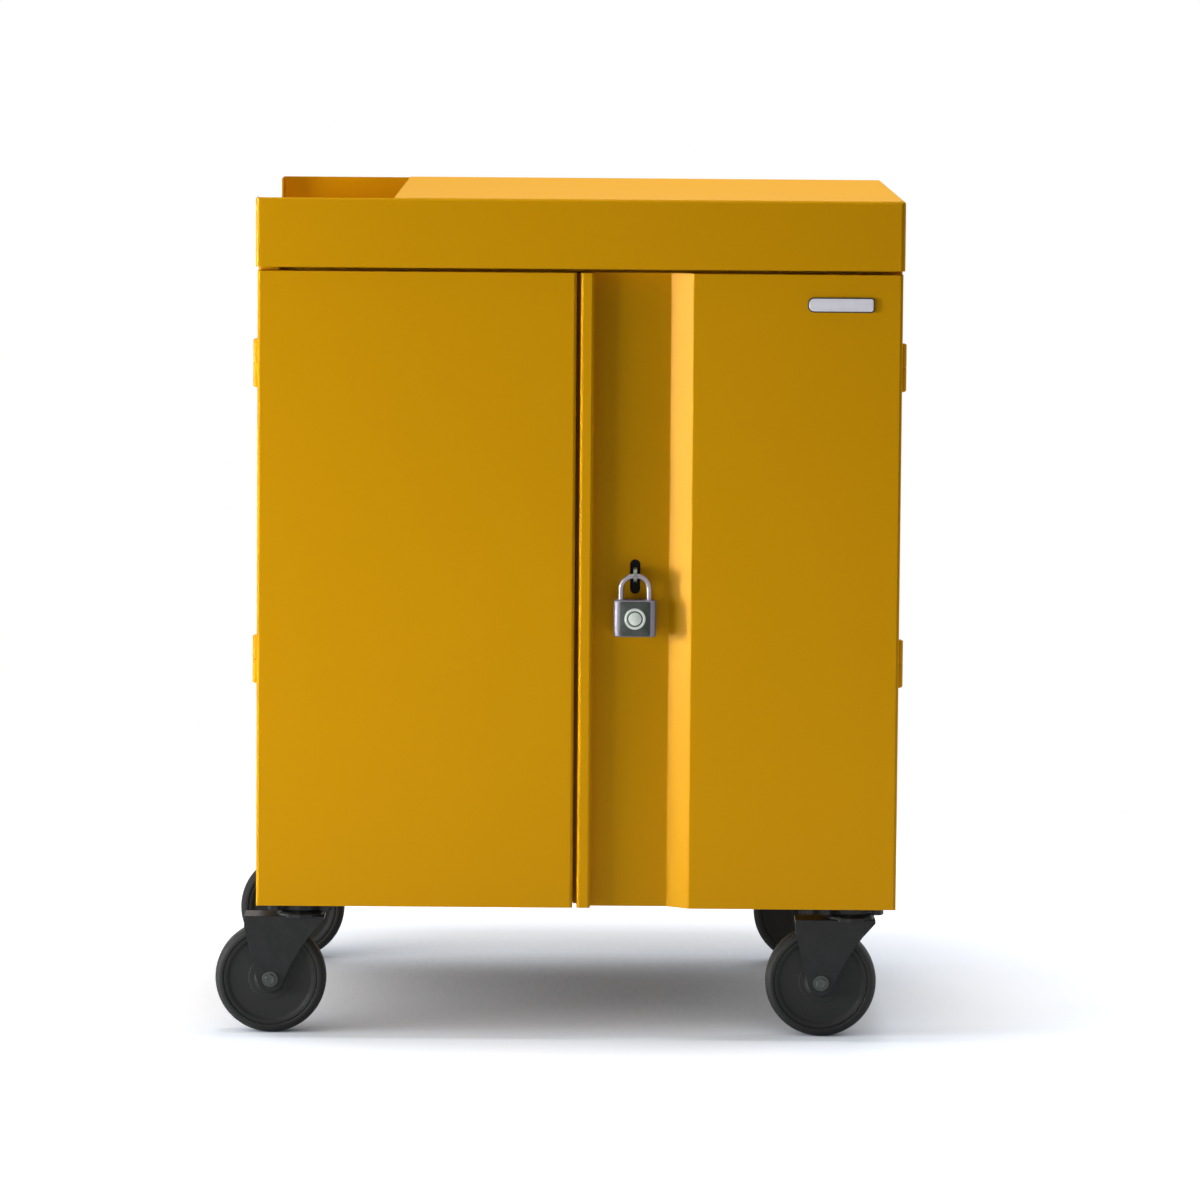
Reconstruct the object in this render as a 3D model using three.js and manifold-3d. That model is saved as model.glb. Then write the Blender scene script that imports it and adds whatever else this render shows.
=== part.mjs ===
// Laptop charging cart: a sheet steel cabinet on four swivel casters, closed by two doors in front
// and one behind. Millimetres, +Z up, front towards -Y, origin on the floor under the cabinet's middle.
import * as THREE from 'three';
import { mergeVertices } from 'three/addons/utils/BufferGeometryUtils.js';
import Module from 'manifold-3d';

const wasm = await Module();
wasm.setup();

// Overall
const CAP_WIDTH = 732;
const CAP_DEPTH = 650;
const TOTAL_HEIGHT = 958.5;

// Sheet metal
const SHEET = 1.5;
const FOLD_RADIUS = 1.5; // inside of every fold
const FOLD_STEPS = 2;
const SEAT = 0.3; // gap between pieces that rest on one another
const PLAY = 0.6; // extra diameter of a hole round what turns or slides in it

// Top cap and its handle well
const CAP_HEIGHT = 79;
const CAP_OVERHANG = 2;
const CAP_CORNER = 5;
const CAP_EDGE = 4;
const CAP_LIP = 16;
const WELL_LENGTH = 156;
const WELL_DEPTH = 58;
const WELL_SLOPE = 14;
const GRIP_DROP = 38;
const GRIP_MARGIN = 34;
const GRIP_CORNER = 16;
const GRIP_BEAD = 4;

// Doors
const DOOR_DEPTH = 22;
const DOOR_LIP = 18;
const DOOR_TOP_GAP = 4.5;
const DOOR_SKIRT = 2;
const DOOR_SEAM = 0.5;
const MEETING_GAP = 4.5;
const MEETING_CENTRE = -1.7;
const MEETING_END = 2; // how far the strip behind the gap stays from the doors' ends

// Trough in the right door
const STRIP_WIDTH = 15.5;
const TROUGH_WIDTH = 86.7;
const TROUGH_RUN = 25.3;
const TROUGH_DEPTH = 18;

// Lock slot, lock bar and padlock
const SLOT_OFFSET = 48.5;
const SLOT_WIDTH = 11.5;
const SLOT_HEIGHT = 39.5;
const SLOT_FROM_BOTTOM = 377.5;
const BAR_WIDTH = 24;
const BAR_THICKNESS = 4;
const BAR_RISE = 130;
const GUIDE_HEIGHT = 18;
const GUIDE_WALL = 3;
const EYE_THICKNESS = 4;
const EYE_RADIUS = 8;
const EYE_PLAY = 1.5;
const EYE_TOP_GAP = 9;
const PADLOCK_WIDTH = 48;
const PADLOCK_HEIGHT = 41.5;
const PADLOCK_DEPTH = 20;
const PADLOCK_CORNER = 5;
const PADLOCK_GAP = 2;
const SHACKLE_DIAMETER = 6;
const SHACKLE_SPAN = 32;
const SHACKLE_RISE = 27;
const SHACKLE_LONG_LEG = 28;
const SHACKLE_SHORT_LEG = 9;
const KEYWAY_DIAMETER = 13;

// Slide bolts of the left door
const BOLT_DIAMETER = 10;
const BOLT_INSET = 11;
const BOLT_LENGTH = 78;
const BOLT_BLOCK = 40;
const BOLT_BLOCK_WALL = 4;
const BOLT_TIP_GAP = 2;
const BOLT_FREE = 14;
const KNOB_DIAMETER = 6;
const KNOB_LENGTH = 16;

// Hinges: a socket half on the door, a base half on the cabinet and a pin through both
const HINGE_DIAMETER = 10.4;
const HINGE_LENGTH = 56;
const HINGE_PIN_DIAMETER = 5;
const HINGE_PIN_LENGTH = 44;
const HINGE_OUT = 0.6;
const HINGE_SEGMENTS = 10;
const HINGE_FROM_TOP = 105.5;
const HINGE_FROM_BOTTOM = 280;

// Base pan, ceiling and shelf
const PAN_SHEET = 2;
const PAN_SETBACK = 2;
const PAN_RIM = 27;
const PAN_RETURN = 22;
const CEILING_DROP = 4;
const SHELF_RISE = 366;
const SHELF_SETBACK = 23;
const SHELF_SKIRT = 20;
const SIDE_FLANGE = 24;

// Device bays and power bays
const BAY_DEPTH = 392;
const WALL_RETURN = 16;
const LEAD_WINDOW_LENGTH = 560;
const LEAD_WINDOW_HEIGHT = 40;
const LEAD_WINDOW_DROP = 56;
const RACK_SLOTS = 10;
const RACK_MARGIN = 22;
const RACK_BASE = 3;
const RACK_SETBACK = 8;
const FIN_THICKNESS = 3;
const FIN_FRONT = 34;
const FIN_REAR = 138;
const FIN_CROWN = 26;
const POWER_HEIGHT = 46;
const POWER_DEPTH = 40;
const POWER_CHAMFER = 6;
const POWER_MARGIN = 12;
const POWER_RISE = 210;
const OUTLET_BLADE = 8;
const OUTLET_BLADE_GAP = 12.7;
const OUTLET_EARTH = 5;
const OUTLET_DEPTH = 10;
const SWITCH_LENGTH = 21;
const SWITCH_WIDTH = 14;
const SWITCH_DEPTH = 9;
const SWITCH_TILT = 0.1; // radians from level while switched off
const SWITCH_INSET = 21;

// Power inlet in the right side
const INLET_LENGTH = 50;
const INLET_HEIGHT = 31;
const INLET_FLANGE = 2.5;
const INLET_BODY_LENGTH = 42;
const INLET_BODY_HEIGHT = 24;
const INLET_BODY_DEPTH = 24;
const INLET_FROM_REAR = 70;
const INLET_RISE = 78;
const PRONG_LENGTH = 11;

// Vents in the sides and the rear door
const VENT_LENGTH = 96;
const VENT_HEIGHT = 7;
const VENT_PITCH = 19;
const VENT_ROWS = 4;
const VENT_DROP = 60;
const REAR_VENT_LENGTH = 280;
const REAR_VENT_DROP = 105;

// Cam lock of the rear door
const CAM_INSET = 34;
const CAM_RISE = 90;
const CAM_BEZEL = 24;
const CAM_PLUG = 13;
const CAM_HEAD = 4;
const CAM_LENGTH = 24;
const CAM_WIDTH = 14;
const CAM_THICKNESS = 2.5;

// Casters
const WHEEL_DIAMETER = 127;
const TREAD_WIDTH = 31;
const TREAD_BAND = 9;
const WEB_WIDTH = 25;
const HUB_DIAMETER = 30;
const HUB_WIDTH = 36;
const WHEEL_SEGMENTS = 24;
const AXLE_DIAMETER = 9;
const AXLE_HEAD = 16;
const AXLE_HEAD_HEIGHT = 5;
const TRAIL = 34;
const SWIVEL_FROM_SIDE = 51;
const SWIVEL_FROM_FRONT = 53;
const FORK_SHEET = 3.5;
const FORK_BOSS = 15;
const SWIVEL_SEGMENTS = 12;
const CROWN_LEAD = 27.5; // ahead of the swivel line
const CROWN_TAIL = 64; // behind it
const CROWN_CLEARANCE = 5.5;
const FORK_SWEEP = 31; // how far the legs' front edge runs in at 45 degrees before it turns down
const FORK_CHEEK = 9; // height of the legs' upright rear edge
const CUP_HEIGHT = 5;
const CUP_DIAMETER = 54;
const RACE_HEIGHT = 8.5;
const RACE_DIAMETER = 50;
const PLATE_THICKNESS = 4.5;
const PLATE_LENGTH = 76;
const PLATE_WIDTH = 58;
const PLATE_CORNER = 6;
const PLATE_HOLE = 8.5;
const PLATE_HOLE_INSET = 9;
const KINGPIN_DIAMETER = 13;
const KINGPIN_HEAD = 22;
const KINGPIN_HEAD_HEIGHT = 4;

// Brake levers of the rear casters
const LEVER_THICKNESS = 3;
const LEVER_LENGTH = 66;
const LEVER_BOSS = 10;
const LEVER_TIP = 7;
const LEVER_TAB = 20;
const LEVER_LEAD = 2;
const LEVER_DROP = 14;
const RIVET_DIAMETER = 8;
const RIVET_HEAD = 13;
const RIVET_HEAD_HEIGHT = 2;

// Heights worked out from the casters upwards
const wheelRadius = WHEEL_DIAMETER / 2;
const crownBottom = WHEEL_DIAMETER + CROWN_CLEARANCE;
const crownTop = crownBottom + FORK_SHEET;
const cupTop = crownTop + CUP_HEIGHT;
const raceBottom = cupTop + SEAT;
const plateBottom = raceBottom + RACE_HEIGHT;
const plateTop = plateBottom + PLATE_THICKNESS;
const panBottom = plateTop + SEAT;
const panTop = panBottom + PAN_SHEET;
const rimTop = panBottom + PAN_RIM;
const capBottom = TOTAL_HEIGHT - CAP_HEIGHT;
const wellFloor = TOTAL_HEIGHT - WELL_DEPTH;
const doorBottom = panBottom - DOOR_SKIRT;
const doorTop = capBottom - DOOR_TOP_GAP;
const sideTop = capBottom - SEAT;
const ceilingTop = capBottom - CEILING_DROP;
const ceilingBottom = ceilingTop - SHEET;
const shelfTop = panTop + SHELF_RISE;
const shelfBottom = shelfTop - SHEET;

// Places across the width and depth
const bodyHalf = CAP_WIDTH / 2 - CAP_OVERHANG;
const innerHalf = bodyHalf - SHEET - SEAT;
const frontFace = CAP_OVERHANG - CAP_DEPTH / 2;
const doorBack = frontFace + DOOR_DEPTH;
const sideFront = doorBack + DOOR_SEAM;
const panFront = sideFront + SHEET + PAN_SETBACK;
const boltPlane = panFront + (PAN_SHEET + PAN_RETURN) / 2;
const shelfFront = panFront + SHELF_SETBACK;
const shelfRear = -panFront;
const wallPlane = shelfFront + BAY_DEPTH;
const leftDoorEdge = MEETING_CENTRE - MEETING_GAP / 2;
const rightDoorEdge = MEETING_CENTRE + MEETING_GAP / 2;
const troughLeft = rightDoorEdge + STRIP_WIDTH;
const troughRight = troughLeft + TROUGH_WIDTH;
const troughFace = frontFace + TROUGH_DEPTH;
const slotPlane = troughLeft + SLOT_OFFSET;
const slotMiddle = doorBottom + SLOT_FROM_BOTTOM;
const eyeHeight = slotMiddle + SLOT_HEIGHT / 2 - EYE_TOP_GAP - EYE_RADIUS;
const padlockPlane = troughFace - PADLOCK_GAP - PADLOCK_DEPTH / 2;
const shackleHeight = eyeHeight - EYE_PLAY + SEAT;
const padlockTop = shackleHeight - SHACKLE_RISE;
const boltLine = leftDoorEdge - BOLT_INSET;
const hingeLine = bodyHalf + HINGE_OUT;
const hingePlane = (doorBack + sideFront) / 2;
const hingeHeights = [doorTop - HINGE_FROM_TOP, doorBottom + HINGE_FROM_BOTTOM];
const rackPitch = (2 * (innerHalf - RACK_MARGIN) - FIN_THICKNESS) / RACK_SLOTS;
const powerFace = wallPlane + SHEET + SEAT + POWER_DEPTH;
const swivelX = CAP_WIDTH / 2 - SWIVEL_FROM_SIDE;
const swivelY = CAP_DEPTH / 2 - SWIVEL_FROM_FRONT;
const forkInner = HUB_WIDTH / 2 + SEAT;
const forkOuter = forkInner + FORK_SHEET;

// Finishes, as photographed
function finish(color, roughness, metalness) {
  return new THREE.MeshStandardMaterial({ color, roughness, metalness });
}
const yellowPaint = () => finish(0xd69a0c, 0.45, 0.0);
const zincSteel = () => finish(0xb9bcc0, 0.35, 1.0);
const darkSteel = () => finish(0x4b4d4f, 0.45, 0.9);
const darkWheel = () => finish(0x373737, 0.6, 0.0);
const blackPlastic = () => finish(0x1c1d1f, 0.5, 0.0);
const greyPlastic = () => finish(0x6d7074, 0.55, 0.0);

// A closed mesh as a solid that can be joined and cut
function solid(geometry) {
  const bare = geometry.index ? geometry.toNonIndexed() : geometry.clone();
  for (const name of Object.keys(bare.attributes)) {
    if (name !== 'position') bare.deleteAttribute(name);
  }
  const merged = mergeVertices(bare, 1e-4);
  const triangles = [];
  for (let i = 0; i < merged.index.count; i += 3) {
    const [a, b, c] = [0, 1, 2].map((k) => merged.index.getX(i + k));
    if (a !== b && b !== c && c !== a) triangles.push(a, b, c);
  }
  const vertProperties = new Float32Array(merged.attributes.position.array);
  const closed = (order) => {
    const triVerts = new Uint32Array(order);
    return new wasm.Manifold(new wasm.Mesh({ numProp: 3, vertProperties, triVerts }));
  };
  const body = closed(triangles);
  return body.volume() > 0 ? body : closed(triangles.reverse());
}

const join = (first, ...others) => others.reduce((body, other) => body.add(other), first);
const cut = (first, ...others) => others.reduce((body, other) => body.subtract(other), first);

// A named piece of the cart
function piece(name, body, material) {
  const { vertProperties, triVerts } = body.getMesh();
  const geometry = new THREE.BufferGeometry();
  geometry.setAttribute('position', new THREE.BufferAttribute(new Float32Array(vertProperties), 3));
  geometry.setIndex(new THREE.BufferAttribute(new Uint32Array(triVerts), 1));
  geometry.computeVertexNormals();
  const mesh = new THREE.Mesh(geometry, material);
  mesh.name = name;
  return mesh;
}

// Outlines extruded along one axis between two places
function extruded(shape, length, steps) {
  return new THREE.ExtrudeGeometry(shape, { depth: length, bevelEnabled: false, curveSegments: steps });
}
function alongZ(shape, from, to, steps = 3) {
  return solid(extruded(shape, to - from, steps).translate(0, 0, from));
}
function alongY(shape, from, to, steps = 3) {
  return solid(extruded(shape, to - from, steps).rotateX(Math.PI / 2).translate(0, to, 0));
}
function alongX(shape, from, to, steps = 3) {
  const turn = new THREE.Matrix4().makeBasis(
    new THREE.Vector3(0, 1, 0),
    new THREE.Vector3(0, 0, 1),
    new THREE.Vector3(1, 0, 0),
  );
  return solid(extruded(shape, to - from, steps).applyMatrix4(turn).translate(from, 0, 0));
}

function block(x0, x1, y0, y1, z0, z1) {
  const box = new THREE.BoxGeometry(x1 - x0, y1 - y0, z1 - z0);
  return solid(box.translate((x0 + x1) / 2, (y0 + y1) / 2, (z0 + z1) / 2));
}

// Turned shapes: a profile of [radius, place along the axis] points
function turned(profile, segments) {
  const points = profile.map(([radius, place]) => new THREE.Vector2(radius, place));
  return new THREE.LatheGeometry(points, segments);
}
const turnedZ = (profile, segments) => solid(turned(profile, segments).rotateX(Math.PI / 2));
const turnedY = (profile, segments) => solid(turned(profile, segments));

function rodZ(diameter, x, y, from, to, segments = 8) {
  const rod = new THREE.CylinderGeometry(diameter / 2, diameter / 2, to - from, segments);
  return solid(rod.rotateX(Math.PI / 2).translate(x, y, (from + to) / 2));
}
function rodY(diameter, x, z, from, to, segments = 8) {
  const rod = new THREE.CylinderGeometry(diameter / 2, diameter / 2, to - from, segments);
  return solid(rod.translate(x, (from + to) / 2, z));
}

// Plane outlines
function polygon(points) {
  return new THREE.Shape(points.map(([u, v]) => new THREE.Vector2(u, v)));
}
function roundedRectangle(u, v, width, height, radius) {
  const [left, right, bottom, top] = [u - width / 2, u + width / 2, v - height / 2, v + height / 2];
  const shape = new THREE.Shape();
  shape.moveTo(left + radius, bottom);
  shape.lineTo(right - radius, bottom);
  shape.absarc(right - radius, bottom + radius, radius, -Math.PI / 2, 0);
  shape.lineTo(right, top - radius);
  shape.absarc(right - radius, top - radius, radius, 0, Math.PI / 2);
  shape.lineTo(left + radius, top);
  shape.absarc(left + radius, top - radius, radius, Math.PI / 2, Math.PI);
  shape.lineTo(left, bottom + radius);
  shape.absarc(left + radius, bottom + radius, radius, Math.PI, 1.5 * Math.PI);
  return shape;
}
function slotOutline(u, v, length, height) {
  const reach = (length - height) / 2;
  const shape = new THREE.Shape();
  shape.absarc(u + reach, v, height / 2, -Math.PI / 2, Math.PI / 2);
  shape.absarc(u - reach, v, height / 2, Math.PI / 2, 1.5 * Math.PI);
  return shape;
}

// The two faces of a folded sheet: the path is its outer face, with the metal on the path's left
function foldedFaces(points, thickness) {
  const path = points.map(([u, v]) => new THREE.Vector2(u, v));
  const outer = [];
  const inner = [];
  const leftOf = (direction) => new THREE.Vector2(-direction.y, direction.x);
  const add = (place, normal) => {
    outer.push(place.clone());
    inner.push(place.clone().addScaledVector(normal, thickness));
  };
  const heading = (i) => path[i + 1].clone().sub(path[i]).normalize();
  add(path[0], leftOf(heading(0)));
  for (let i = 1; i < path.length - 1; i += 1) {
    const before = heading(i - 1);
    const after = heading(i);
    const angle = Math.atan2(before.cross(after), before.dot(after));
    const radius = angle > 0 ? FOLD_RADIUS + thickness : FOLD_RADIUS;
    const start = path[i].clone().addScaledVector(before, -radius * Math.tan(Math.abs(angle) / 2));
    const centre = start.clone().addScaledVector(leftOf(before), radius * Math.sign(angle));
    for (let k = 0; k <= FOLD_STEPS; k += 1) {
      const turn = (angle * k) / FOLD_STEPS;
      add(start.clone().rotateAround(centre, turn), leftOf(before).rotateAround(new THREE.Vector2(), turn));
    }
  }
  add(path[path.length - 1], leftOf(heading(path.length - 2)));
  return { outer, inner };
}
function foldedSheet(points, thickness = SHEET) {
  const { outer, inner } = foldedFaces(points, thickness);
  return new THREE.Shape([...outer, ...inner.reverse()]);
}
function filledFold(points, thickness = SHEET) {
  return new THREE.Shape(foldedFaces(points, thickness).outer);
}

// Hinges

function hingeNotch(x, y, height) {
  const margin = DOOR_SEAM;
  return rodZ(
    HINGE_DIAMETER + 2 * SEAT, x, y,
    height - HINGE_LENGTH / 2 - margin, height + HINGE_LENGTH / 2 + margin, 16,
  );
}

// One barrel half, with its domed end up or down and a blind bore for the pin
function hingeHalf(upwards) {
  const radius = HINGE_DIAMETER / 2;
  const length = HINGE_LENGTH / 2 - SEAT / 2;
  const bore = (HINGE_PIN_DIAMETER + PLAY) / 2;
  const boreDepth = HINGE_PIN_LENGTH / 2 + SEAT;
  const dome = radius / 2;
  const side = upwards ? 1 : -1;
  const profile = [
    [bore, SEAT / 2],
    [radius, SEAT / 2],
    [radius, length - dome],
    [radius * 0.75, length - dome * 0.3],
    [0, length],
    [0, boreDepth],
    [bore, boreDepth],
    [bore, SEAT / 2],
  ];
  return turnedZ(profile.map(([r, z]) => [r, side * z]), HINGE_SEGMENTS);
}

function addHinge(group, name, x, y, height) {
  const pin = rodZ(HINGE_PIN_DIAMETER, 0, 0, -HINGE_PIN_LENGTH / 2, HINGE_PIN_LENGTH / 2);
  const pieces = [
    piece(`${name}_hinge_socket`, hingeHalf(true), yellowPaint()),
    piece(`${name}_hinge_base`, hingeHalf(false), yellowPaint()),
    piece(`${name}_hinge_pin`, pin, zincSteel()),
  ];
  for (const mesh of pieces) {
    mesh.position.set(x, y, height);
    group.add(mesh);
  }
}

// Doors

// A folded pan between two ends: front sheet, side returns with inward lips, and end plates
function doorPan(left, right, steps = []) {
  const path = [
    [left + DOOR_LIP, doorBack],
    [left, doorBack],
    [left, frontFace],
    ...steps,
    [right, frontFace],
    [right, doorBack],
    [right - DOOR_LIP, doorBack],
  ];
  return join(
    alongZ(foldedSheet(path), doorBottom, doorTop),
    alongZ(filledFold(path), doorBottom, doorBottom + SHEET),
    alongZ(filledFold(path), doorTop - SHEET, doorTop),
  );
}

function leftDoor() {
  const notches = hingeHeights.map((height) => hingeNotch(-hingeLine, hingePlane, height));
  const pan = cut(doorPan(-bodyHalf, leftDoorEdge), ...notches);
  return boltBlocks().reduce((door, guide) => door.add(guide), pan);
}

// Guide blocks for the slide bolts, welded to the lip of the left door
function boltBlocks() {
  const reach = BOLT_DIAMETER / 2 + BOLT_BLOCK_WALL;
  const width = [boltLine - reach, boltLine + reach];
  const depth = [doorBack - SHEET / 2, boltPlane + reach];
  return boltSpans().map(({ blockFrom, blockTo }) =>
    cut(
      block(...width, ...depth, blockFrom, blockTo),
      rodZ(BOLT_DIAMETER + PLAY, boltLine, boltPlane, blockFrom - 1, blockTo + 1),
    ));
}

// Where each slide bolt starts and ends, and its guide block
function boltSpans() {
  const low = rimTop + BOLT_TIP_GAP;
  const high = ceilingBottom - BOLT_TIP_GAP;
  return [
    {
      tip: low,
      tail: low + BOLT_LENGTH,
      blockFrom: low + BOLT_FREE,
      blockTo: low + BOLT_FREE + BOLT_BLOCK,
    },
    {
      tip: high,
      tail: high - BOLT_LENGTH,
      blockFrom: high - BOLT_FREE - BOLT_BLOCK,
      blockTo: high - BOLT_FREE,
    },
  ];
}

function slideBolt({ tip, tail }) {
  const inward = Math.sign(tip - tail) * KNOB_DIAMETER;
  return join(
    rodZ(BOLT_DIAMETER, boltLine, boltPlane, Math.min(tip, tail), Math.max(tip, tail)),
    rodY(KNOB_DIAMETER, boltLine, tail + inward, boltPlane, boltPlane + BOLT_DIAMETER / 2 + KNOB_LENGTH),
  );
}

function rightDoor() {
  const pan = doorPan(rightDoorEdge, bodyHalf, [
    [troughLeft, frontFace],
    [troughLeft, troughFace],
    [troughRight, troughFace],
    [troughRight + TROUGH_RUN, frontFace],
  ]);
  const slot = slotOutline(0, 0, SLOT_HEIGHT, SLOT_WIDTH);
  const slotCut = alongY(slot, troughFace - 1, troughFace + SHEET + 1, 4)
    .rotate([0, 90, 0])
    .translate([slotPlane, 0, slotMiddle]);
  const notches = hingeHeights.map((height) => hingeNotch(hingeLine, hingePlane, height));
  return join(cut(pan, slotCut, ...notches), meetingStrip(), ...barGuides());
}

// Strip on the right door's lip that closes the gap between the doors from behind
function meetingStrip() {
  return block(
    leftDoorEdge + PLAY, rightDoorEdge + DOOR_LIP / 2,
    doorBack - SHEET / 2, doorBack + SHEET,
    doorBottom + MEETING_END, doorTop - MEETING_END,
  );
}

// Lock bar behind the trough

const barFront = troughFace + SHEET + SEAT;
const barBack = barFront + BAR_THICKNESS;
const barTop = eyeHeight + BAR_RISE;
const barFoot = rimTop + BOLT_TIP_GAP + BOLT_FREE;

// Straps on the back of the trough that the lock bar slides in
function barGuides() {
  const inner = BAR_WIDTH / 2 + SEAT;
  const rear = barBack + SEAT;
  const strap = foldedSheet([
    [slotPlane + inner + GUIDE_WALL, troughFace + SHEET / 2],
    [slotPlane + inner + GUIDE_WALL, rear + GUIDE_WALL],
    [slotPlane - inner - GUIDE_WALL, rear + GUIDE_WALL],
    [slotPlane - inner - GUIDE_WALL, troughFace + SHEET / 2],
  ], GUIDE_WALL - FOLD_RADIUS / 4);
  const middles = [barTop - 2 * GUIDE_HEIGHT, barFoot + 3 * GUIDE_HEIGHT];
  return middles.map((middle) => alongZ(strap, middle - GUIDE_HEIGHT / 2, middle + GUIDE_HEIGHT / 2));
}

function lockBar() {
  const eye = new THREE.Shape();
  eye.moveTo(barBack, eyeHeight + EYE_RADIUS);
  eye.lineTo(padlockPlane, eyeHeight + EYE_RADIUS);
  eye.absarc(padlockPlane, eyeHeight, EYE_RADIUS, Math.PI / 2, 1.5 * Math.PI);
  eye.lineTo(barBack, eyeHeight - EYE_RADIUS);
  const hole = new THREE.Path();
  hole.absarc(padlockPlane, eyeHeight, SHACKLE_DIAMETER / 2 + EYE_PLAY, 0, 2 * Math.PI, true);
  eye.holes.push(hole);
  const half = BAR_WIDTH / 2;
  return join(
    block(slotPlane - half, slotPlane + half, barFront, barBack, barFoot, barTop),
    alongX(eye, slotPlane - EYE_THICKNESS / 2, slotPlane + EYE_THICKNESS / 2, 6),
    block(
      slotPlane - half, slotPlane + half,
      barFront, boltPlane + BOLT_DIAMETER / 2, barFoot, barFoot + BAR_THICKNESS,
    ),
    rodZ(BOLT_DIAMETER, slotPlane, boltPlane, rimTop + BOLT_TIP_GAP, barFoot + BAR_THICKNESS / 2),
  );
}

// Padlock

// The shackle's centre line: up the long leg, over the top, down the short leg
class ShackleLine extends THREE.Curve {
  getPoint(t) {
    const half = SHACKLE_SPAN / 2;
    const bend = Math.min(half, SHACKLE_RISE) * 0.9;
    const flat = half - bend;
    const spring = SHACKLE_RISE - bend;
    const arc = (Math.PI / 2) * bend;
    const lengths = [SHACKLE_LONG_LEG + spring, arc, 2 * flat, arc, SHACKLE_SHORT_LEG + spring];
    const total = lengths.reduce((sum, length) => sum + length, 0);
    let left = t * total;
    if (left <= lengths[0]) return new THREE.Vector3(-half, 0, left - SHACKLE_LONG_LEG);
    left -= lengths[0];
    if (left <= arc) {
      const angle = left / bend;
      return new THREE.Vector3(-flat - bend * Math.cos(angle), 0, spring + bend * Math.sin(angle));
    }
    left -= arc;
    if (left <= 2 * flat) return new THREE.Vector3(left - flat, 0, SHACKLE_RISE);
    left -= 2 * flat;
    if (left <= arc) {
      const angle = left / bend;
      return new THREE.Vector3(flat + bend * Math.sin(angle), 0, spring + bend * Math.cos(angle));
    }
    left -= arc;
    return new THREE.Vector3(half, 0, spring - left);
  }
}

function padlockShackle() {
  const section = new THREE.Shape();
  section.absarc(0, 0, SHACKLE_DIAMETER / 2, 0, 2 * Math.PI);
  const options = { steps: 24, curveSegments: 4, bevelEnabled: false, extrudePath: new ShackleLine() };
  return solid(new THREE.ExtrudeGeometry(section, options));
}

function padlockBody() {
  const bevel = PADLOCK_CORNER / 3;
  const outline = roundedRectangle(
    0, 0, PADLOCK_WIDTH - 2 * bevel, PADLOCK_DEPTH - 2 * bevel, PADLOCK_CORNER - bevel,
  );
  const body = new THREE.ExtrudeGeometry(outline, {
    depth: PADLOCK_HEIGHT - 2 * bevel,
    curveSegments: 2,
    bevelThickness: bevel,
    bevelSize: bevel,
    bevelSegments: 2,
  });
  const legHole = SHACKLE_DIAMETER + PLAY;
  const half = SHACKLE_SPAN / 2;
  return cut(
    solid(body.translate(0, 0, bevel - PADLOCK_HEIGHT)),
    rodZ(legHole, -half, 0, -SHACKLE_LONG_LEG - SEAT, 1),
    rodZ(legHole, half, 0, -SHACKLE_SHORT_LEG - SEAT, 1),
    rodZ(KEYWAY_DIAMETER, 0, 0, -PADLOCK_HEIGHT - 1, bevel - PADLOCK_HEIGHT, 16),
  );
}

// Cabinet panels

// A side panel as it stands on the left, with notches for hinges at the ends that have them
function sidePanel({ notchFront, notchRear, ventPlace, inlet }) {
  const section = foldedSheet([
    [SIDE_FLANGE - bodyHalf, -sideFront],
    [-bodyHalf, -sideFront],
    [-bodyHalf, sideFront],
    [SIDE_FLANGE - bodyHalf, sideFront],
  ]);
  const ends = [...(notchFront ? [hingePlane] : []), ...(notchRear ? [-hingePlane] : [])];
  const notches = ends.flatMap((y) => hingeHeights.map((height) => hingeNotch(-hingeLine, y, height)));
  const through = [-bodyHalf - 1, SHEET + 1 - bodyHalf];
  const vents = ventRows(sideTop - VENT_DROP).map((z) =>
    alongX(slotOutline(ventPlace, z, VENT_LENGTH, VENT_HEIGHT), ...through, 2));
  const holes = inlet
    ? [block(
      ...through,
      inlet.y - INLET_BODY_LENGTH / 2 - SEAT, inlet.y + INLET_BODY_LENGTH / 2 + SEAT,
      inlet.z - INLET_BODY_HEIGHT / 2 - SEAT, inlet.z + INLET_BODY_HEIGHT / 2 + SEAT,
    )]
    : [];
  return cut(alongZ(section, panBottom, sideTop), ...notches, ...vents, ...holes);
}

function ventRows(top) {
  return Array.from({ length: VENT_ROWS }, (_, row) => top - row * VENT_PITCH);
}

// Tray with box rims in front and behind, upright ends, and holes for the lock pin and the lower bolt
function basePan() {
  const section = foldedSheet([
    [panFront + PAN_RETURN, rimTop],
    [panFront, rimTop],
    [panFront, panBottom],
    [-panFront, panBottom],
    [-panFront, rimTop],
    [-panFront - PAN_RETURN, rimTop],
  ], PAN_SHEET);
  const hole = BOLT_DIAMETER + 2 * PLAY;
  const panEnd = -panFront - PAN_SHEET;
  return cut(
    join(
      alongX(section, -innerHalf, innerHalf),
      block(-innerHalf, PAN_SHEET - innerHalf, panFront + PAN_SHEET, panEnd, panBottom, rimTop),
      block(innerHalf - PAN_SHEET, innerHalf, panFront + PAN_SHEET, panEnd, panBottom, rimTop),
    ),
    rodZ(hole, slotPlane, boltPlane, rimTop - 2 * PAN_SHEET, rimTop + 1),
    rodZ(hole, boltLine, boltPlane, rimTop - 2 * PAN_SHEET, rimTop + 1),
  );
}

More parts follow.
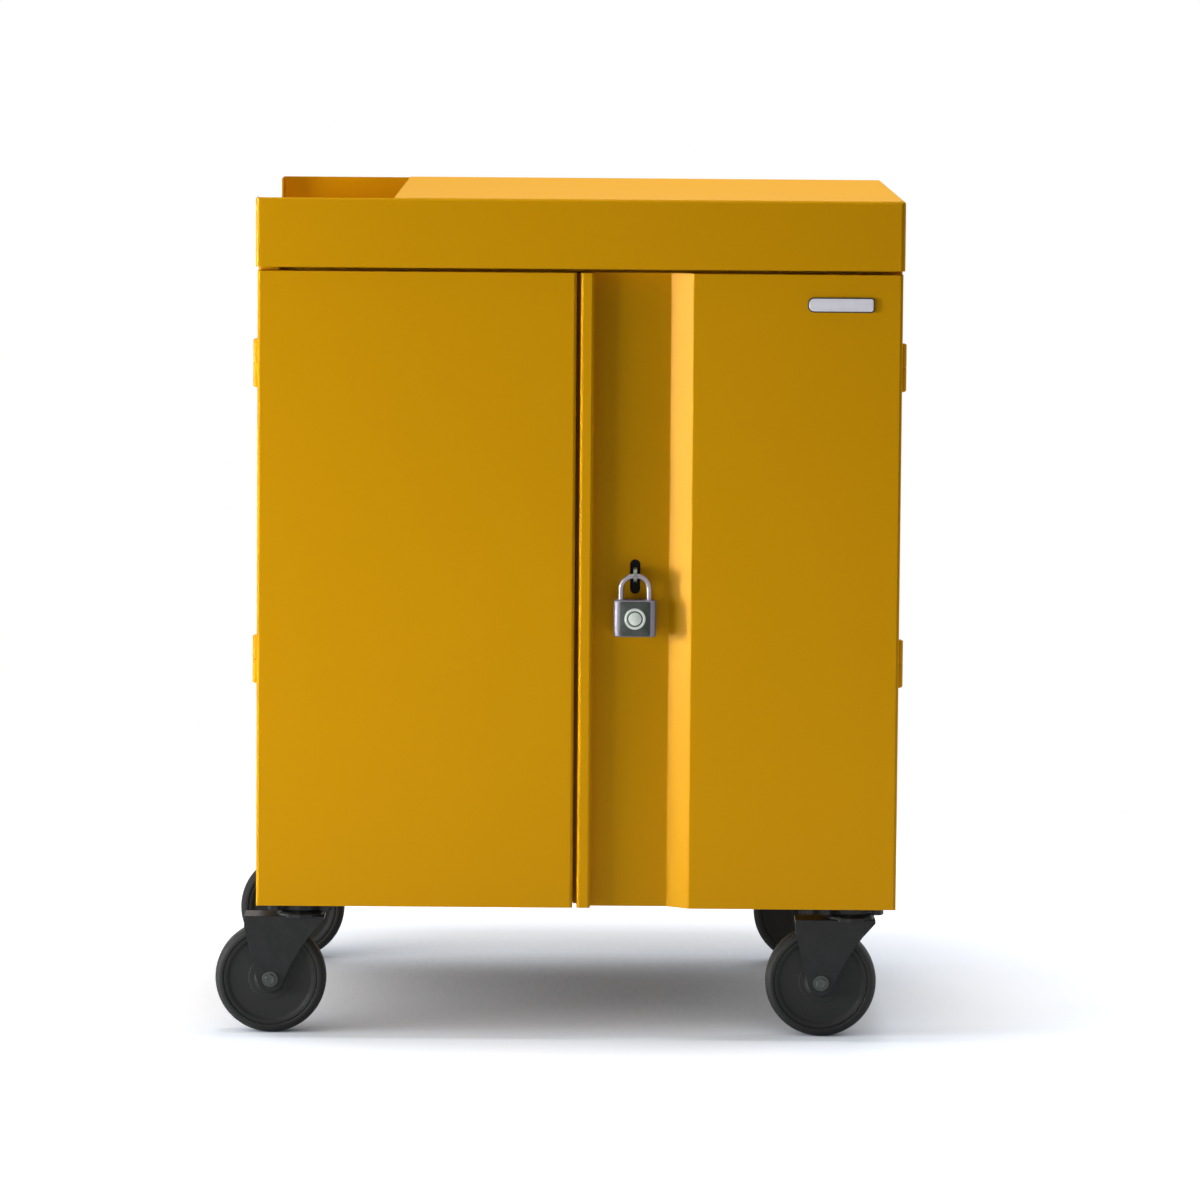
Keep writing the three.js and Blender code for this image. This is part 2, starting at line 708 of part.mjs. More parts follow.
// Panel under the cap, with upright flanges that carry the well's floor and a hole for the upper bolt
function ceilingPanel() {
  const flangeTop = wellFloor - SHEET - SEAT;
  const section = foldedSheet([
    [panFront, flangeTop],
    [panFront, ceilingBottom],
    [-panFront, ceilingBottom],
    [-panFront, flangeTop],
  ]);
  const flangeHalf = CAP_WIDTH / 2 - CAP_LIP - CAP_OVERHANG;
  const skirt = ceilingBottom - SHELF_SKIRT;
  return cut(
    join(
      alongX(section, -flangeHalf, flangeHalf),
      block(-innerHalf, innerHalf, shelfFront, -shelfFront, ceilingBottom, ceilingTop),
      block(-innerHalf, SHEET - innerHalf, shelfFront, -shelfFront, skirt, ceilingTop),
      block(innerHalf - SHEET, innerHalf, shelfFront, -shelfFront, skirt, ceilingTop),
    ),
    rodZ(BOLT_DIAMETER + 2 * PLAY, boltLine, boltPlane, ceilingBottom - 1, ceilingTop + 1),
  );
}

function midShelf() {
  const section = foldedSheet([
    [shelfRear, shelfTop - SHELF_SKIRT],
    [shelfRear, shelfTop],
    [shelfFront, shelfTop],
    [shelfFront, shelfTop - SHELF_SKIRT],
  ]);
  const ends = [shelfFront + SHEET, shelfRear - SHEET, shelfTop - SHELF_SKIRT, shelfTop];
  return join(
    alongX(section, -innerHalf, innerHalf),
    block(-innerHalf, SHEET - innerHalf, ...ends),
    block(innerHalf - SHEET, innerHalf, ...ends),
  );
}

// The wall between a device bay and the power bay behind it, with a window for the charging leads
function powerWall(bottom, top) {
  const half = innerHalf - Math.max(SHEET, PAN_SHEET) - SEAT;
  const section = foldedSheet([
    [-half, wallPlane + WALL_RETURN],
    [-half, wallPlane],
    [half, wallPlane],
    [half, wallPlane + WALL_RETURN],
  ]);
  const outline = slotOutline(0, top - LEAD_WINDOW_DROP, LEAD_WINDOW_LENGTH, LEAD_WINDOW_HEIGHT);
  return cut(alongZ(section, bottom, top), alongY(outline, wallPlane - 1, wallPlane + SHEET + 1));
}

// Divider rack: a base with upright fins that rise to the rear
function rack(bottom) {
  const front = shelfFront + RACK_SETBACK;
  const rear = wallPlane - RACK_SETBACK;
  const half = innerHalf - RACK_MARGIN;
  const fin = new THREE.Shape();
  fin.moveTo(front, bottom);
  fin.lineTo(front, bottom + FIN_FRONT / 2);
  fin.lineTo(front + FIN_FRONT / 3, bottom + FIN_FRONT);
  fin.bezierCurveTo(
    (front + rear) / 2, bottom + FIN_FRONT,
    (front + rear) / 2, bottom + FIN_REAR,
    rear - FIN_CROWN, bottom + FIN_REAR,
  );
  fin.lineTo(rear, bottom + FIN_REAR - FIN_CROWN);
  fin.lineTo(rear, bottom);
  const fins = Array.from({ length: RACK_SLOTS + 1 }, (_, i) => {
    const x = i * rackPitch - half;
    return alongX(fin, x, x + FIN_THICKNESS, 5);
  });
  return join(block(-half, half, front, rear, bottom, bottom + RACK_BASE), ...fins);
}

// Power strips

const powerHalf = innerHalf - POWER_MARGIN;
const switchPlace = powerHalf - SWITCH_INSET;

function powerStrip(middle) {
  const front = wallPlane + SHEET + SEAT;
  const top = middle + POWER_HEIGHT / 2;
  const bottom = middle - POWER_HEIGHT / 2;
  const section = polygon([
    [front, bottom],
    [powerFace - POWER_CHAMFER, bottom],
    [powerFace, bottom + POWER_CHAMFER],
    [powerFace, top - POWER_CHAMFER],
    [powerFace - POWER_CHAMFER, top],
    [front, top],
  ]);
  const deep = [powerFace - OUTLET_DEPTH, powerFace + 1];
  const outlets = Array.from({ length: RACK_SLOTS }, (_, i) => {
    const pitch = (2 * (switchPlace - SWITCH_LENGTH)) / RACK_SLOTS;
    const x = (i - (RACK_SLOTS - 1) / 2) * pitch - SWITCH_LENGTH / 2;
    const slots = [-1, 1].map((side) => {
      const place = x + (side * OUTLET_BLADE_GAP) / 2;
      return block(place - 1, place + 1, ...deep, middle, middle + OUTLET_BLADE);
    });
    return join(...slots, rodY(OUTLET_EARTH, x, middle - OUTLET_BLADE * 0.75, ...deep, 6));
  });
  const recess = block(
    switchPlace - SWITCH_LENGTH / 2 - 2 * PLAY, switchPlace + SWITCH_LENGTH / 2 + 2 * PLAY,
    powerFace - SWITCH_DEPTH - 3 * PLAY, powerFace + 1,
    middle - SWITCH_WIDTH / 2 - PLAY / 2, middle + SWITCH_WIDTH / 2 + PLAY / 2,
  );
  return cut(alongX(section, -powerHalf, powerHalf), recess, ...outlets);
}

// Rocker about an upright axis in the strip's face, built level and then tilted to off
function rocker(name, middle) {
  const half = SWITCH_LENGTH / 2;
  const outline = new THREE.Shape();
  outline.moveTo(-half, SWITCH_DEPTH * 0.2);
  outline.quadraticCurveTo(0, -SWITCH_DEPTH * 0.15, half, SWITCH_DEPTH * 0.2);
  outline.lineTo(half * 0.94, -SWITCH_DEPTH * 0.2);
  outline.lineTo(half * 0.3, -SWITCH_DEPTH * 0.85);
  outline.lineTo(-half * 0.3, -SWITCH_DEPTH * 0.85);
  outline.lineTo(-half * 0.94, -SWITCH_DEPTH * 0.2);
  const mesh = piece(name, alongZ(outline, -SWITCH_WIDTH / 2, SWITCH_WIDTH / 2, 4), blackPlastic());
  mesh.position.set(switchPlace, powerFace, middle);
  mesh.rotation.z = -SWITCH_TILT;
  return mesh;
}

// Power inlet: a flanged socket with three prongs, let into the right side, seen from outside
function powerInlet() {
  const flange = alongX(
    roundedRectangle(0, 0, INLET_LENGTH, INLET_HEIGHT, INLET_FLANGE * 2),
    SEAT, SEAT + INLET_FLANGE, 2,
  );
  const body = alongX(
    roundedRectangle(0, 0, INLET_BODY_LENGTH, INLET_BODY_HEIGHT, INLET_FLANGE),
    -INLET_BODY_DEPTH, SEAT + INLET_FLANGE / 2, 1,
  );
  const wall = INLET_FLANGE;
  const mouth = polygon([
    [wall - INLET_BODY_LENGTH / 2, wall - INLET_BODY_HEIGHT / 2],
    [INLET_BODY_LENGTH / 2 - wall, wall - INLET_BODY_HEIGHT / 2],
    [INLET_BODY_LENGTH / 2 - wall, INLET_BODY_HEIGHT / 4],
    [INLET_BODY_LENGTH / 3, INLET_BODY_HEIGHT / 2 - wall],
    [-INLET_BODY_LENGTH / 3, INLET_BODY_HEIGHT / 2 - wall],
    [wall - INLET_BODY_LENGTH / 2, INLET_BODY_HEIGHT / 4],
  ]);
  const floor = 2 * wall - INLET_BODY_DEPTH;
  const prong = (y, z) => block(floor - 1, floor + PRONG_LENGTH, y - 1, y + 1, z - wall, z + wall);
  const spread = INLET_BODY_LENGTH / 5;
  return join(
    cut(join(flange, body), alongX(mouth, floor, SEAT + INLET_FLANGE + 1)),
    prong(-spread, -wall),
    prong(spread, -wall),
    prong(0, wall),
  );
}

// Top cap: a lid with a lip under it, an open well at its left end and a lowered, beaded end wall
function topCap() {
  const halfWidth = CAP_WIDTH / 2;
  const halfDepth = CAP_DEPTH / 2;
  const roundedTop = (half) => {
    const shape = new THREE.Shape();
    shape.moveTo(-half, capBottom);
    shape.lineTo(half, capBottom);
    shape.lineTo(half, TOTAL_HEIGHT - CAP_EDGE);
    shape.absarc(half - CAP_EDGE, TOTAL_HEIGHT - CAP_EDGE, CAP_EDGE, 0, Math.PI / 2);
    shape.lineTo(CAP_EDGE - half, TOTAL_HEIGHT);
    shape.absarc(CAP_EDGE - half, TOTAL_HEIGHT - CAP_EDGE, CAP_EDGE, Math.PI / 2, Math.PI);
    return shape;
  };
  const outside = alongZ(roundedRectangle(0, 0, CAP_WIDTH, CAP_DEPTH, CAP_CORNER), capBottom, TOTAL_HEIGHT, 2)
    .intersect(alongY(roundedTop(halfWidth), -halfDepth, halfDepth, 2))
    .intersect(alongX(roundedTop(halfDepth), -halfWidth, halfWidth, 2));
  const inside = halfWidth - SHEET;
  const across = [SHEET - halfDepth, halfDepth - SHEET];
  const wellEdge = WELL_LENGTH - halfWidth;
  const wellFoot = wellEdge - WELL_SLOPE;
  const wallAcross = SHEET * Math.hypot(1, WELL_SLOPE / WELL_DEPTH);
  const hollow = polygon([
    [-inside, capBottom + SHEET],
    [inside, capBottom + SHEET],
    [inside, TOTAL_HEIGHT - SHEET],
    [wellEdge + wallAcross, TOTAL_HEIGHT - SHEET],
    [wellFoot + wallAcross, wellFloor - SHEET],
    [-inside, wellFloor - SHEET],
  ]);
  const well = polygon([
    [-inside, TOTAL_HEIGHT + 1],
    [-inside, wellFloor],
    [wellFoot, wellFloor],
    [wellEdge, TOTAL_HEIGHT],
    [wellEdge, TOTAL_HEIGHT + 1],
  ]);
  const mouth = halfWidth - CAP_LIP;
  const gripHalf = halfDepth - GRIP_MARGIN;
  const gripTop = TOTAL_HEIGHT - GRIP_DROP;
  const grip = roundedRectangle(0, gripTop + GRIP_DROP, 2 * gripHalf, 2 * GRIP_DROP, GRIP_CORNER);
  const bead = new THREE.Shape();
  bead.absarc(GRIP_BEAD - halfWidth, gripTop, GRIP_BEAD, 0, 2 * Math.PI);
  return join(
    cut(
      outside,
      alongY(hollow, ...across),
      alongY(well, ...across),
      block(-mouth, mouth, CAP_LIP - halfDepth, halfDepth - CAP_LIP, capBottom - 1, capBottom + SHEET + 1),
      alongX(grip, -halfWidth - 1, 2 * SHEET - halfWidth, 4),
    ),
    alongY(bead, GRIP_CORNER - gripHalf, gripHalf - GRIP_CORNER, 5),
  );
}

// Rear door, built as a front door and turned to the back with everything on it

const camLine = bodyHalf - CAM_INSET;
const camHeight = shelfTop + CAM_RISE;
const camPlane = sideFront + SHEET + 2 * SEAT;

function rearDoor() {
  const through = [frontFace - 1, frontFace + SHEET + 1];
  const tops = [doorTop - REAR_VENT_DROP, doorBottom + REAR_VENT_DROP + (VENT_ROWS - 1) * VENT_PITCH];
  const vents = tops.flatMap((top) => ventRows(top).map((z) =>
    alongY(slotOutline(0, z, REAR_VENT_LENGTH, VENT_HEIGHT), ...through, 2)));
  const notches = hingeHeights.map((height) => hingeNotch(-hingeLine, hingePlane, height));
  const bezel = rodY(CAM_BEZEL, camLine, camHeight, frontFace - CAM_HEAD, doorBack - DOOR_DEPTH / 3, 16);
  const bore = rodY(CAM_PLUG + PLAY, camLine, camHeight, frontFace - CAM_HEAD - 1, doorBack, 12);
  return cut(join(cut(doorPan(-bodyHalf, bodyHalf), ...vents, ...notches), bezel), bore);
}

// The turning part of the cam lock: a plug with a key slot, and the cam behind it, hanging down unlocked
function rearCam() {
  const plug = rodY(CAM_PLUG, 0, 0, frontFace - CAM_HEAD, camPlane + CAM_THICKNESS, 12);
  const keySlot = block(-1, 1, frontFace - CAM_HEAD - 1, frontFace, -CAM_PLUG / 4, CAM_PLUG / 4);
  const outline = new THREE.Shape();
  outline.absarc(0, 0, CAM_WIDTH / 2, 0, Math.PI);
  outline.lineTo(-CAM_WIDTH / 2, -CAM_LENGTH);
  outline.lineTo(CAM_WIDTH / 2, -CAM_LENGTH);
  return join(cut(plug, keySlot), alongY(outline, camPlane, camPlane + CAM_THICKNESS, 4));
}

// Casters, each about its own swivel line with the wheel trailing towards -X

function casterPlate() {
  const holes = [-1, 1].flatMap((u) => [-1, 1].map((v) => rodZ(
    PLATE_HOLE,
    u * (PLATE_LENGTH / 2 - PLATE_HOLE_INSET), v * (PLATE_WIDTH / 2 - PLATE_HOLE_INSET),
    plateBottom - 1, plateTop + 1, 8,
  )));
  const pin = KINGPIN_DIAMETER / 2;
  const race = RACE_DIAMETER / 2;
  const headTop = crownBottom - SEAT;
  const kingpin = turnedZ([
    [0, headTop - KINGPIN_HEAD_HEIGHT],
    [KINGPIN_HEAD / 2, headTop - KINGPIN_HEAD_HEIGHT / 2],
    [KINGPIN_HEAD / 2, headTop],
    [pin, headTop],
    [pin, raceBottom],
    [race - RACE_HEIGHT / 3, raceBottom],
    [race, raceBottom + RACE_HEIGHT / 3],
    [race, plateBottom + PLATE_THICKNESS / 2],
    [0, plateBottom + PLATE_THICKNESS / 2],
  ], SWIVEL_SEGMENTS);
  const outline = roundedRectangle(0, 0, PLATE_LENGTH, PLATE_WIDTH, PLATE_CORNER);
  return cut(join(alongZ(outline, plateBottom, plateTop, 1), kingpin), ...holes);
}

// Where a line from an outside point touches a circle, on its left or right side
function tangentPoint(from, centre, radius, side) {
  const reach = from.clone().sub(centre);
  const angle = Math.acos(radius / reach.length()) * side;
  return reach.setLength(radius).rotateAround(new THREE.Vector2(), angle).add(centre);
}

// One leg of the fork: from the full crown length down to the boss round the axle, its front edge swept in
function forkLeg(from, to) {
  const axle = new THREE.Vector2(-TRAIL, wheelRadius);
  const waist = new THREE.Vector2(CROWN_LEAD - FORK_SWEEP, crownBottom - FORK_SWEEP);
  const cheek = new THREE.Vector2(-CROWN_TAIL, crownBottom - FORK_CHEEK);
  const right = tangentPoint(waist, axle, FORK_BOSS, -1);
  const left = tangentPoint(cheek, axle, FORK_BOSS, 1);
  const angleOf = (point) => Math.atan2(point.y - axle.y, point.x - axle.x);
  const leg = new THREE.Shape();
  leg.moveTo(CROWN_LEAD, crownTop);
  leg.lineTo(-CROWN_TAIL, crownTop);
  leg.lineTo(cheek.x, cheek.y);
  leg.lineTo(left.x, left.y);
  leg.absarc(axle.x, axle.y, FORK_BOSS, angleOf(left), angleOf(right) + 2 * Math.PI);
  leg.quadraticCurveTo(waist.x, waist.y, CROWN_LEAD, crownBottom);
  return alongY(leg, from, to, 4);
}

function casterFork(withRivet) {
  const cup = CUP_DIAMETER / 2;
  const dome = turnedZ([
    [0, crownTop - FORK_SHEET / 2],
    [cup, crownTop - FORK_SHEET / 2],
    [cup, crownTop + CUP_HEIGHT / 2],
    [cup - CUP_HEIGHT / 2, cupTop],
    [0, cupTop],
  ], SWIVEL_SEGMENTS);
  const crown = roundedRectangle(
    (CROWN_LEAD - CROWN_TAIL) / 2, 0, CROWN_LEAD + CROWN_TAIL, 2 * forkOuter, FORK_SHEET,
  );
  const fork = join(
    alongZ(crown, crownBottom, crownTop, 1),
    dome,
    forkLeg(-forkOuter, -forkInner),
    forkLeg(forkInner, forkOuter),
  );
  const holes = [
    rodZ(KINGPIN_DIAMETER + PLAY, 0, 0, crownBottom - 1, cupTop + 1, SWIVEL_SEGMENTS),
    rodY(AXLE_DIAMETER + PLAY, -TRAIL, wheelRadius, -forkOuter - 1, forkOuter + 1),
  ];
  const bare = cut(fork, ...holes);
  return withRivet ? join(bare, leverRivet()) : bare;
}

function casterWheel() {
  const bore = (AXLE_DIAMETER + PLAY) / 2;
  const hub = HUB_DIAMETER / 2;
  const rim = wheelRadius - TREAD_BAND;
  const shoulder = TREAD_BAND * 0.6;
  const side = [
    [bore, HUB_WIDTH / 2],
    [hub, HUB_WIDTH / 2],
    [hub + 3, WEB_WIDTH / 2],
    [rim - 3, WEB_WIDTH / 2],
    [rim, TREAD_WIDTH / 2],
    [wheelRadius - shoulder, TREAD_WIDTH / 2],
    [wheelRadius, TREAD_WIDTH / 2 - shoulder],
  ];
  const other = side.map(([radius, place]) => [radius, -place]).reverse();
  return turnedY([...side, ...other, side[0]], WHEEL_SEGMENTS);
}

// Axle bolt with a hexagon head in front and a nut behind
function casterAxle() {
  const shoulder = forkOuter + SEAT;
  return join(
    rodY(AXLE_DIAMETER, 0, 0, -shoulder, shoulder + AXLE_HEAD_HEIGHT + 2),
    rodY(AXLE_HEAD, 0, 0, -shoulder - AXLE_HEAD_HEIGHT, -shoulder, 6),
    rodY(AXLE_HEAD, 0, 0, shoulder, shoulder + AXLE_HEAD_HEIGHT, 6),
  );
}

// Brake lever on the far side of a rear fork

const leverPivot = new THREE.Vector2(LEVER_LEAD, crownBottom - LEVER_DROP);
const leverNear = forkOuter + SEAT;
const leverFar = leverNear + LEVER_THICKNESS;

function leverRivet() {
  return join(
    rodY(RIVET_DIAMETER, leverPivot.x, leverPivot.y, forkInner + FORK_SHEET / 2, leverFar + SEAT + 1),
    rodY(RIVET_HEAD, leverPivot.x, leverPivot.y, leverFar + SEAT, leverFar + SEAT + RIVET_HEAD_HEIGHT),
  );
}

function brakeLever() {
  const boss = new THREE.Vector2(0, 0);
  const tip = new THREE.Vector2(-LEVER_LENGTH, 0);
  const lean = Math.asin((LEVER_BOSS - LEVER_TIP) / LEVER_LENGTH);
  const arm = new THREE.Shape();
  arm.absarc(boss.x, boss.y, LEVER_BOSS, -Math.PI / 2 - lean, Math.PI / 2 + lean);
  arm.absarc(tip.x, tip.y, LEVER_TIP, Math.PI / 2 + lean, 1.5 * Math.PI - lean);
  const tab = roundedRectangle(tip.x, 0, 2 * LEVER_TIP, LEVER_THICKNESS, LEVER_THICKNESS / 3);
  return cut(
    join(
      alongY(arm, leverNear, leverFar, 2),
      alongY(tab, leverNear, leverFar + LEVER_TAB, 1),
    ),
    rodY(RIVET_DIAMETER + PLAY, 0, 0, leverNear - 1, leverFar + 1, 16),
  );
}

function caster(name, x, y, braked) {
  const holder = new THREE.Group();
  holder.position.set(x, y, 0);
  holder.add(piece(`${name}_caster_plate`, casterPlate(), zincSteel()));
  holder.add(piece(`${name}_caster_fork`, casterFork(braked), darkSteel()));
  const wheel = piece(`${name}_caster_wheel`, casterWheel(), darkWheel());
  const axle = piece(`${name}_caster_axle`, casterAxle(), zincSteel());
  for (const mesh of [wheel, axle]) {
    mesh.position.set(-TRAIL, 0, wheelRadius);
    holder.add(mesh);
  }
  if (braked) {
    const lever = piece(`${name}_brake_lever`, brakeLever(), darkSteel());
    lever.position.set(leverPivot.x, 0, leverPivot.y);
    holder.add(lever);
  }
  return holder;
}

// Assembly

const group = new THREE.Group();
const ventLine = (wallPlane - sideFront) / 2;
const inletLine = -sideFront - INLET_FROM_REAR;
const inletHeight = panTop + INLET_RISE;
const lowerPower = panTop + POWER_RISE;
const upperPower = shelfTop + POWER_RISE;

group.add(piece('base_pan', basePan(), yellowPaint()));
group.add(piece('left_side', sidePanel({ notchFront: true, ventPlace: ventLine }), yellowPaint()));
const rightSide = sidePanel({
  notchFront: true,
  notchRear: true,
  ventPlace: -ventLine,
  inlet: { y: -inletLine, z: inletHeight },
});
const rightPanel = piece('right_side', rightSide, yellowPaint());
rightPanel.rotation.z = Math.PI;
group.add(rightPanel);
group.add(piece('ceiling_panel', ceilingPanel(), yellowPaint()));
group.add(piece('top_cap', topCap(), yellowPaint()));
group.add(piece('mid_shelf', midShelf(), yellowPaint()));
group.add(piece('lower_power_wall', powerWall(panTop + SEAT, shelfBottom - SEAT), yellowPaint()));
group.add(piece('upper_power_wall', powerWall(shelfTop + SEAT, ceilingBottom - SEAT), yellowPaint()));
group.add(piece('lower_rack', rack(panTop + SEAT), greyPlastic()));
group.add(piece('upper_rack', rack(shelfTop + SEAT), greyPlastic()));
group.add(piece('lower_power_strip', powerStrip(lowerPower), blackPlastic()));
group.add(piece('upper_power_strip', powerStrip(upperPower), blackPlastic()));
group.add(rocker('lower_switch', lowerPower));
group.add(rocker('upper_switch', upperPower));
const inlet = piece('power_inlet', powerInlet(), blackPlastic());
inlet.position.set(bodyHalf, inletLine, inletHeight);
group.add(inlet);

group.add(piece('left_door', leftDoor(), yellowPaint()));
const [lowerSpan, upperSpan] = boltSpans();
group.add(piece('left_lower_bolt', slideBolt(lowerSpan), zincSteel()));
group.add(piece('left_upper_bolt', slideBolt(upperSpan), zincSteel()));
group.add(piece('right_door', rightDoor(), yellowPaint()));
group.add(piece('lock_bar', lockBar(), zincSteel()));
const padlock = new THREE.Group();
padlock.position.set(slotPlane, padlockPlane, padlockTop);
padlock.add(piece('padlock_shackle', padlockShackle(), zincSteel()));
padlock.add(piece('padlock_body', padlockBody(), darkSteel()));
group.add(padlock);

const rear = new THREE.Group();
rear.rotation.z = Math.PI;
rear.add(piece('rear_door', rearDoor(), yellowPaint()));
const cam = piece('rear_cam', rearCam(), zincSteel());
cam.position.set(camLine, 0, camHeight);
rear.add(cam);
group.add(rear);

const levels = ['upper', 'lower'];
hingeHeights.forEach((height, i) => {
  addHinge(group, `left_${levels[i]}`, -hingeLine, hingePlane, height);
  addHinge(group, `right_${levels[i]}`, hingeLine, hingePlane, height);
  addHinge(rear, `rear_${levels[i]}`, -hingeLine, hingePlane, height);
});

group.add(caster('front_left', -swivelX, -swivelY, false));
group.add(caster('front_right', swivelX, -swivelY, false));
group.add(caster('rear_left', -swivelX, swivelY, true));
group.add(caster('rear_right', swivelX, swivelY, true));

export default group;
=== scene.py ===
"""Looks of the laptop charging cart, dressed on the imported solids. Metres, +Z up, front towards -Y."""
import math

import bmesh
import bpy
import numpy as np
from mathutils import Matrix, Vector


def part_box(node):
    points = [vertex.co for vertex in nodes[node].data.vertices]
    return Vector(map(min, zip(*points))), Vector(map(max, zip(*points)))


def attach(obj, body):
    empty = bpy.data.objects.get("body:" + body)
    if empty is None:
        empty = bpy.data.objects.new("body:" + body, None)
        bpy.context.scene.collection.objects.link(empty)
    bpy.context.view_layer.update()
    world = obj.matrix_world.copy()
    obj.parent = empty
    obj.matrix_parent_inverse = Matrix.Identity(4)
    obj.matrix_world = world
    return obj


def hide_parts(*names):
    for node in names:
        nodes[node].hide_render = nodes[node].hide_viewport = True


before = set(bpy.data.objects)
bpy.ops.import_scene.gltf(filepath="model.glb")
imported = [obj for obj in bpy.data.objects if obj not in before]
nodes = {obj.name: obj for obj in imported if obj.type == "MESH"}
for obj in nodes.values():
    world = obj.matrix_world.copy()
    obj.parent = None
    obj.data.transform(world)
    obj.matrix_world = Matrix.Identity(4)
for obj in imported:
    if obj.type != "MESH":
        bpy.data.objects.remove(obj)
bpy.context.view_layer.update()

MM = 0.001
TURN = 2 * math.pi
UP, FRONT, BACK, LEFT, RIGHT = (0, 0, 1), (0, -1, 0), (0, 1, 0), (-1, 0, 0), (1, 0, 0)
CORNERS = ("front_left", "front_right", "rear_left", "rear_right")
LEVELS = ("upper", "lower")

# Camera: where the photograph was taken from
EYE = Vector((0.0133, -7.6369, 1.2492))
EYE_YAW = 0.00157
EYE_PITCH = -0.10141
EYE_ROLL = 0.00788
FOCAL_SHARE = 6493.3 / 1200  # focal length over the picture's width
SENSOR = 36.0

# Wheels
WHEEL_SEGMENTS = 144
BORE = 4.8 * MM
HUB = 15 * MM
HUB_FACE = 17.8 * MM
WEB_FACE = 11.8 * MM
RIM = 53.5 * MM
TREAD_FACE = 15.4 * MM
WHEEL_ROUNDING = 2.2 * MM

# Fasteners
BOLT_ACROSS = 13 * MM
BOLT_HEAD = 5.3 * MM
WASHER = 16 * MM
WASHER_THICKNESS = 1.6 * MM
PLATE_THICKNESS = 4.5 * MM
PLATE_HOLE_INSET = 9 * MM
AXLE_ACROSS = 11 * MM
AXLE_HEAD = 5 * MM
AXLE_FLANGE = 18 * MM
AXLE_STUB = 8.4 * MM

# Padlock
PADLOCK_ROUNDING = 6.5 * MM
PADLOCK_EDGE = 1.8 * MM
COVER_WIDTH = 34.5 * MM
COVER_MARGIN = 1 * MM
COVER_RISE = 0.9 * MM
DISC = 24 * MM
DISC_RIM = 3 * MM
DISC_GROOVE = 1.6 * MM
DISC_RISE = 0.5 * MM
SHACKLE = 6 * MM
SHACKLE_SHORT_LEG = 9 * MM
COLLAR = 9.5 * MM

# Power outlets and inlet
OUTLETS = 10
OUTLET_WIDTH = 27 * MM
OUTLET_HEIGHT = 29 * MM
OUTLET_RIM = 1.4 * MM
OUTLET_RISE = 0.9 * MM
OUTLET_SWITCH = 21 * MM  # length of the strip's switch, and how far its middle is from the strip's end
INLET_WALL = 2.5 * MM
INLET_BODY = 42 * MM
PRONG_LENGTH = 11 * MM
PRONG_SLEEVE = (5.4 * MM, 2.4 * MM)

# Floor and light
FLOOR_REACH = 6.0
FLOOR_SHADOW = (0.95, 1.7)  # how far from the middle the floor keeps shadows, and where it is plain white
# Painted light and shade on the floor: where nearby solids block the view along a leaning direction, the floor's colour
# darkens and its glow fades, painting the shadow of soft light from the left and from the right.
FLOOR_LEFT_LEAN = (-1.1, -0.5, 0.0)  # how far from upright the floor looks for light at its left
FLOOR_LEFT_REACH = 0.55  # how near a solid has to be to keep that light out
FLOOR_LEFT_RAMP = (0.25, 0.9)  # open shares of the view that count as no light and as full light
FLOOR_RIGHT_LEAN = (0.6, -0.4, 0.0)
FLOOR_RIGHT_REACH = 0.4
FLOOR_RIGHT_RAMP = (0.28, 0.95)
FLOOR_RIGHT_SHARE = 0.8  # of the light that the left gives
FLOOR_VIEW_SAMPLES = 10
# Floor colours in painted shade and in full light, and its painted glow, seen only directly; the two colours are bluish
# to cancel the yellow light that the cart bounces onto the floor.
FLOOR_SHADE = (0.14, 0.17, 0.22, 1)
FLOOR_COLOUR = (0.80, 0.84, 0.90, 1)
FLOOR_PAINTED_GLOW = (0.46, 0.49, 0.53, 1)
WORLD_LIGHT = 0.02

# Name plate, left bare
BADGE_X = 294 * MM
BADGE_Z = 841 * MM
BADGE_WIDTH = 75.5 * MM
BADGE_HEIGHT = 17 * MM
BADGE_ROUNDING = np.array([4, 7.5, 7.5, 4]) * MM  # from the upper right corner, anticlockwise
BADGE_RIM = 1.3 * MM
BADGE_RISE = 1.4 * MM


# Shapes: each is a pair of arrays, corner points and four-cornered faces

def grid_faces(rows, columns, wrap_rows=False, wrap_columns=False):
    """Faces over a grid of corners numbered row by row; a wrapped way joins its last line to its first."""
    i, j = np.meshgrid(
        np.arange(rows if wrap_rows else rows - 1),
        np.arange(columns if wrap_columns else columns - 1),
        indexing="ij",
    )
    below, beside = (i + 1) % rows, (j + 1) % columns
    corners = [i * columns + j, i * columns + beside, below * columns + beside, below * columns + j]
    return np.stack(corners, axis=-1).reshape(-1, 4)


def softened(profile, radius, steps=5):
    """A profile with its inner corners rounded: each corner becomes the parabola that leaves the line before
    it and meets the line after it at the given distance, or at half of a shorter line."""
    p = np.asarray(profile, float)
    before, corner, after = p[:-2], p[1:-1], p[2:]
    to_before = before - corner
    to_after = after - corner
    reach_before = np.linalg.norm(to_before, axis=1, keepdims=True)
    reach_after = np.linalg.norm(to_after, axis=1, keepdims=True)
    cut = np.minimum(radius, 0.49 * np.minimum(reach_before, reach_after))
    start = (corner + to_before / reach_before * cut)[:, None]
    end = (corner + to_after / reach_after * cut)[:, None]
    t = np.linspace(0, 1, steps)[None, :, None]
    curve = (1 - t) ** 2 * start + 2 * t * (1 - t) * corner[:, None] + t**2 * end
    return np.concatenate([p[:1], curve.reshape(-1, 2), p[-1:]])


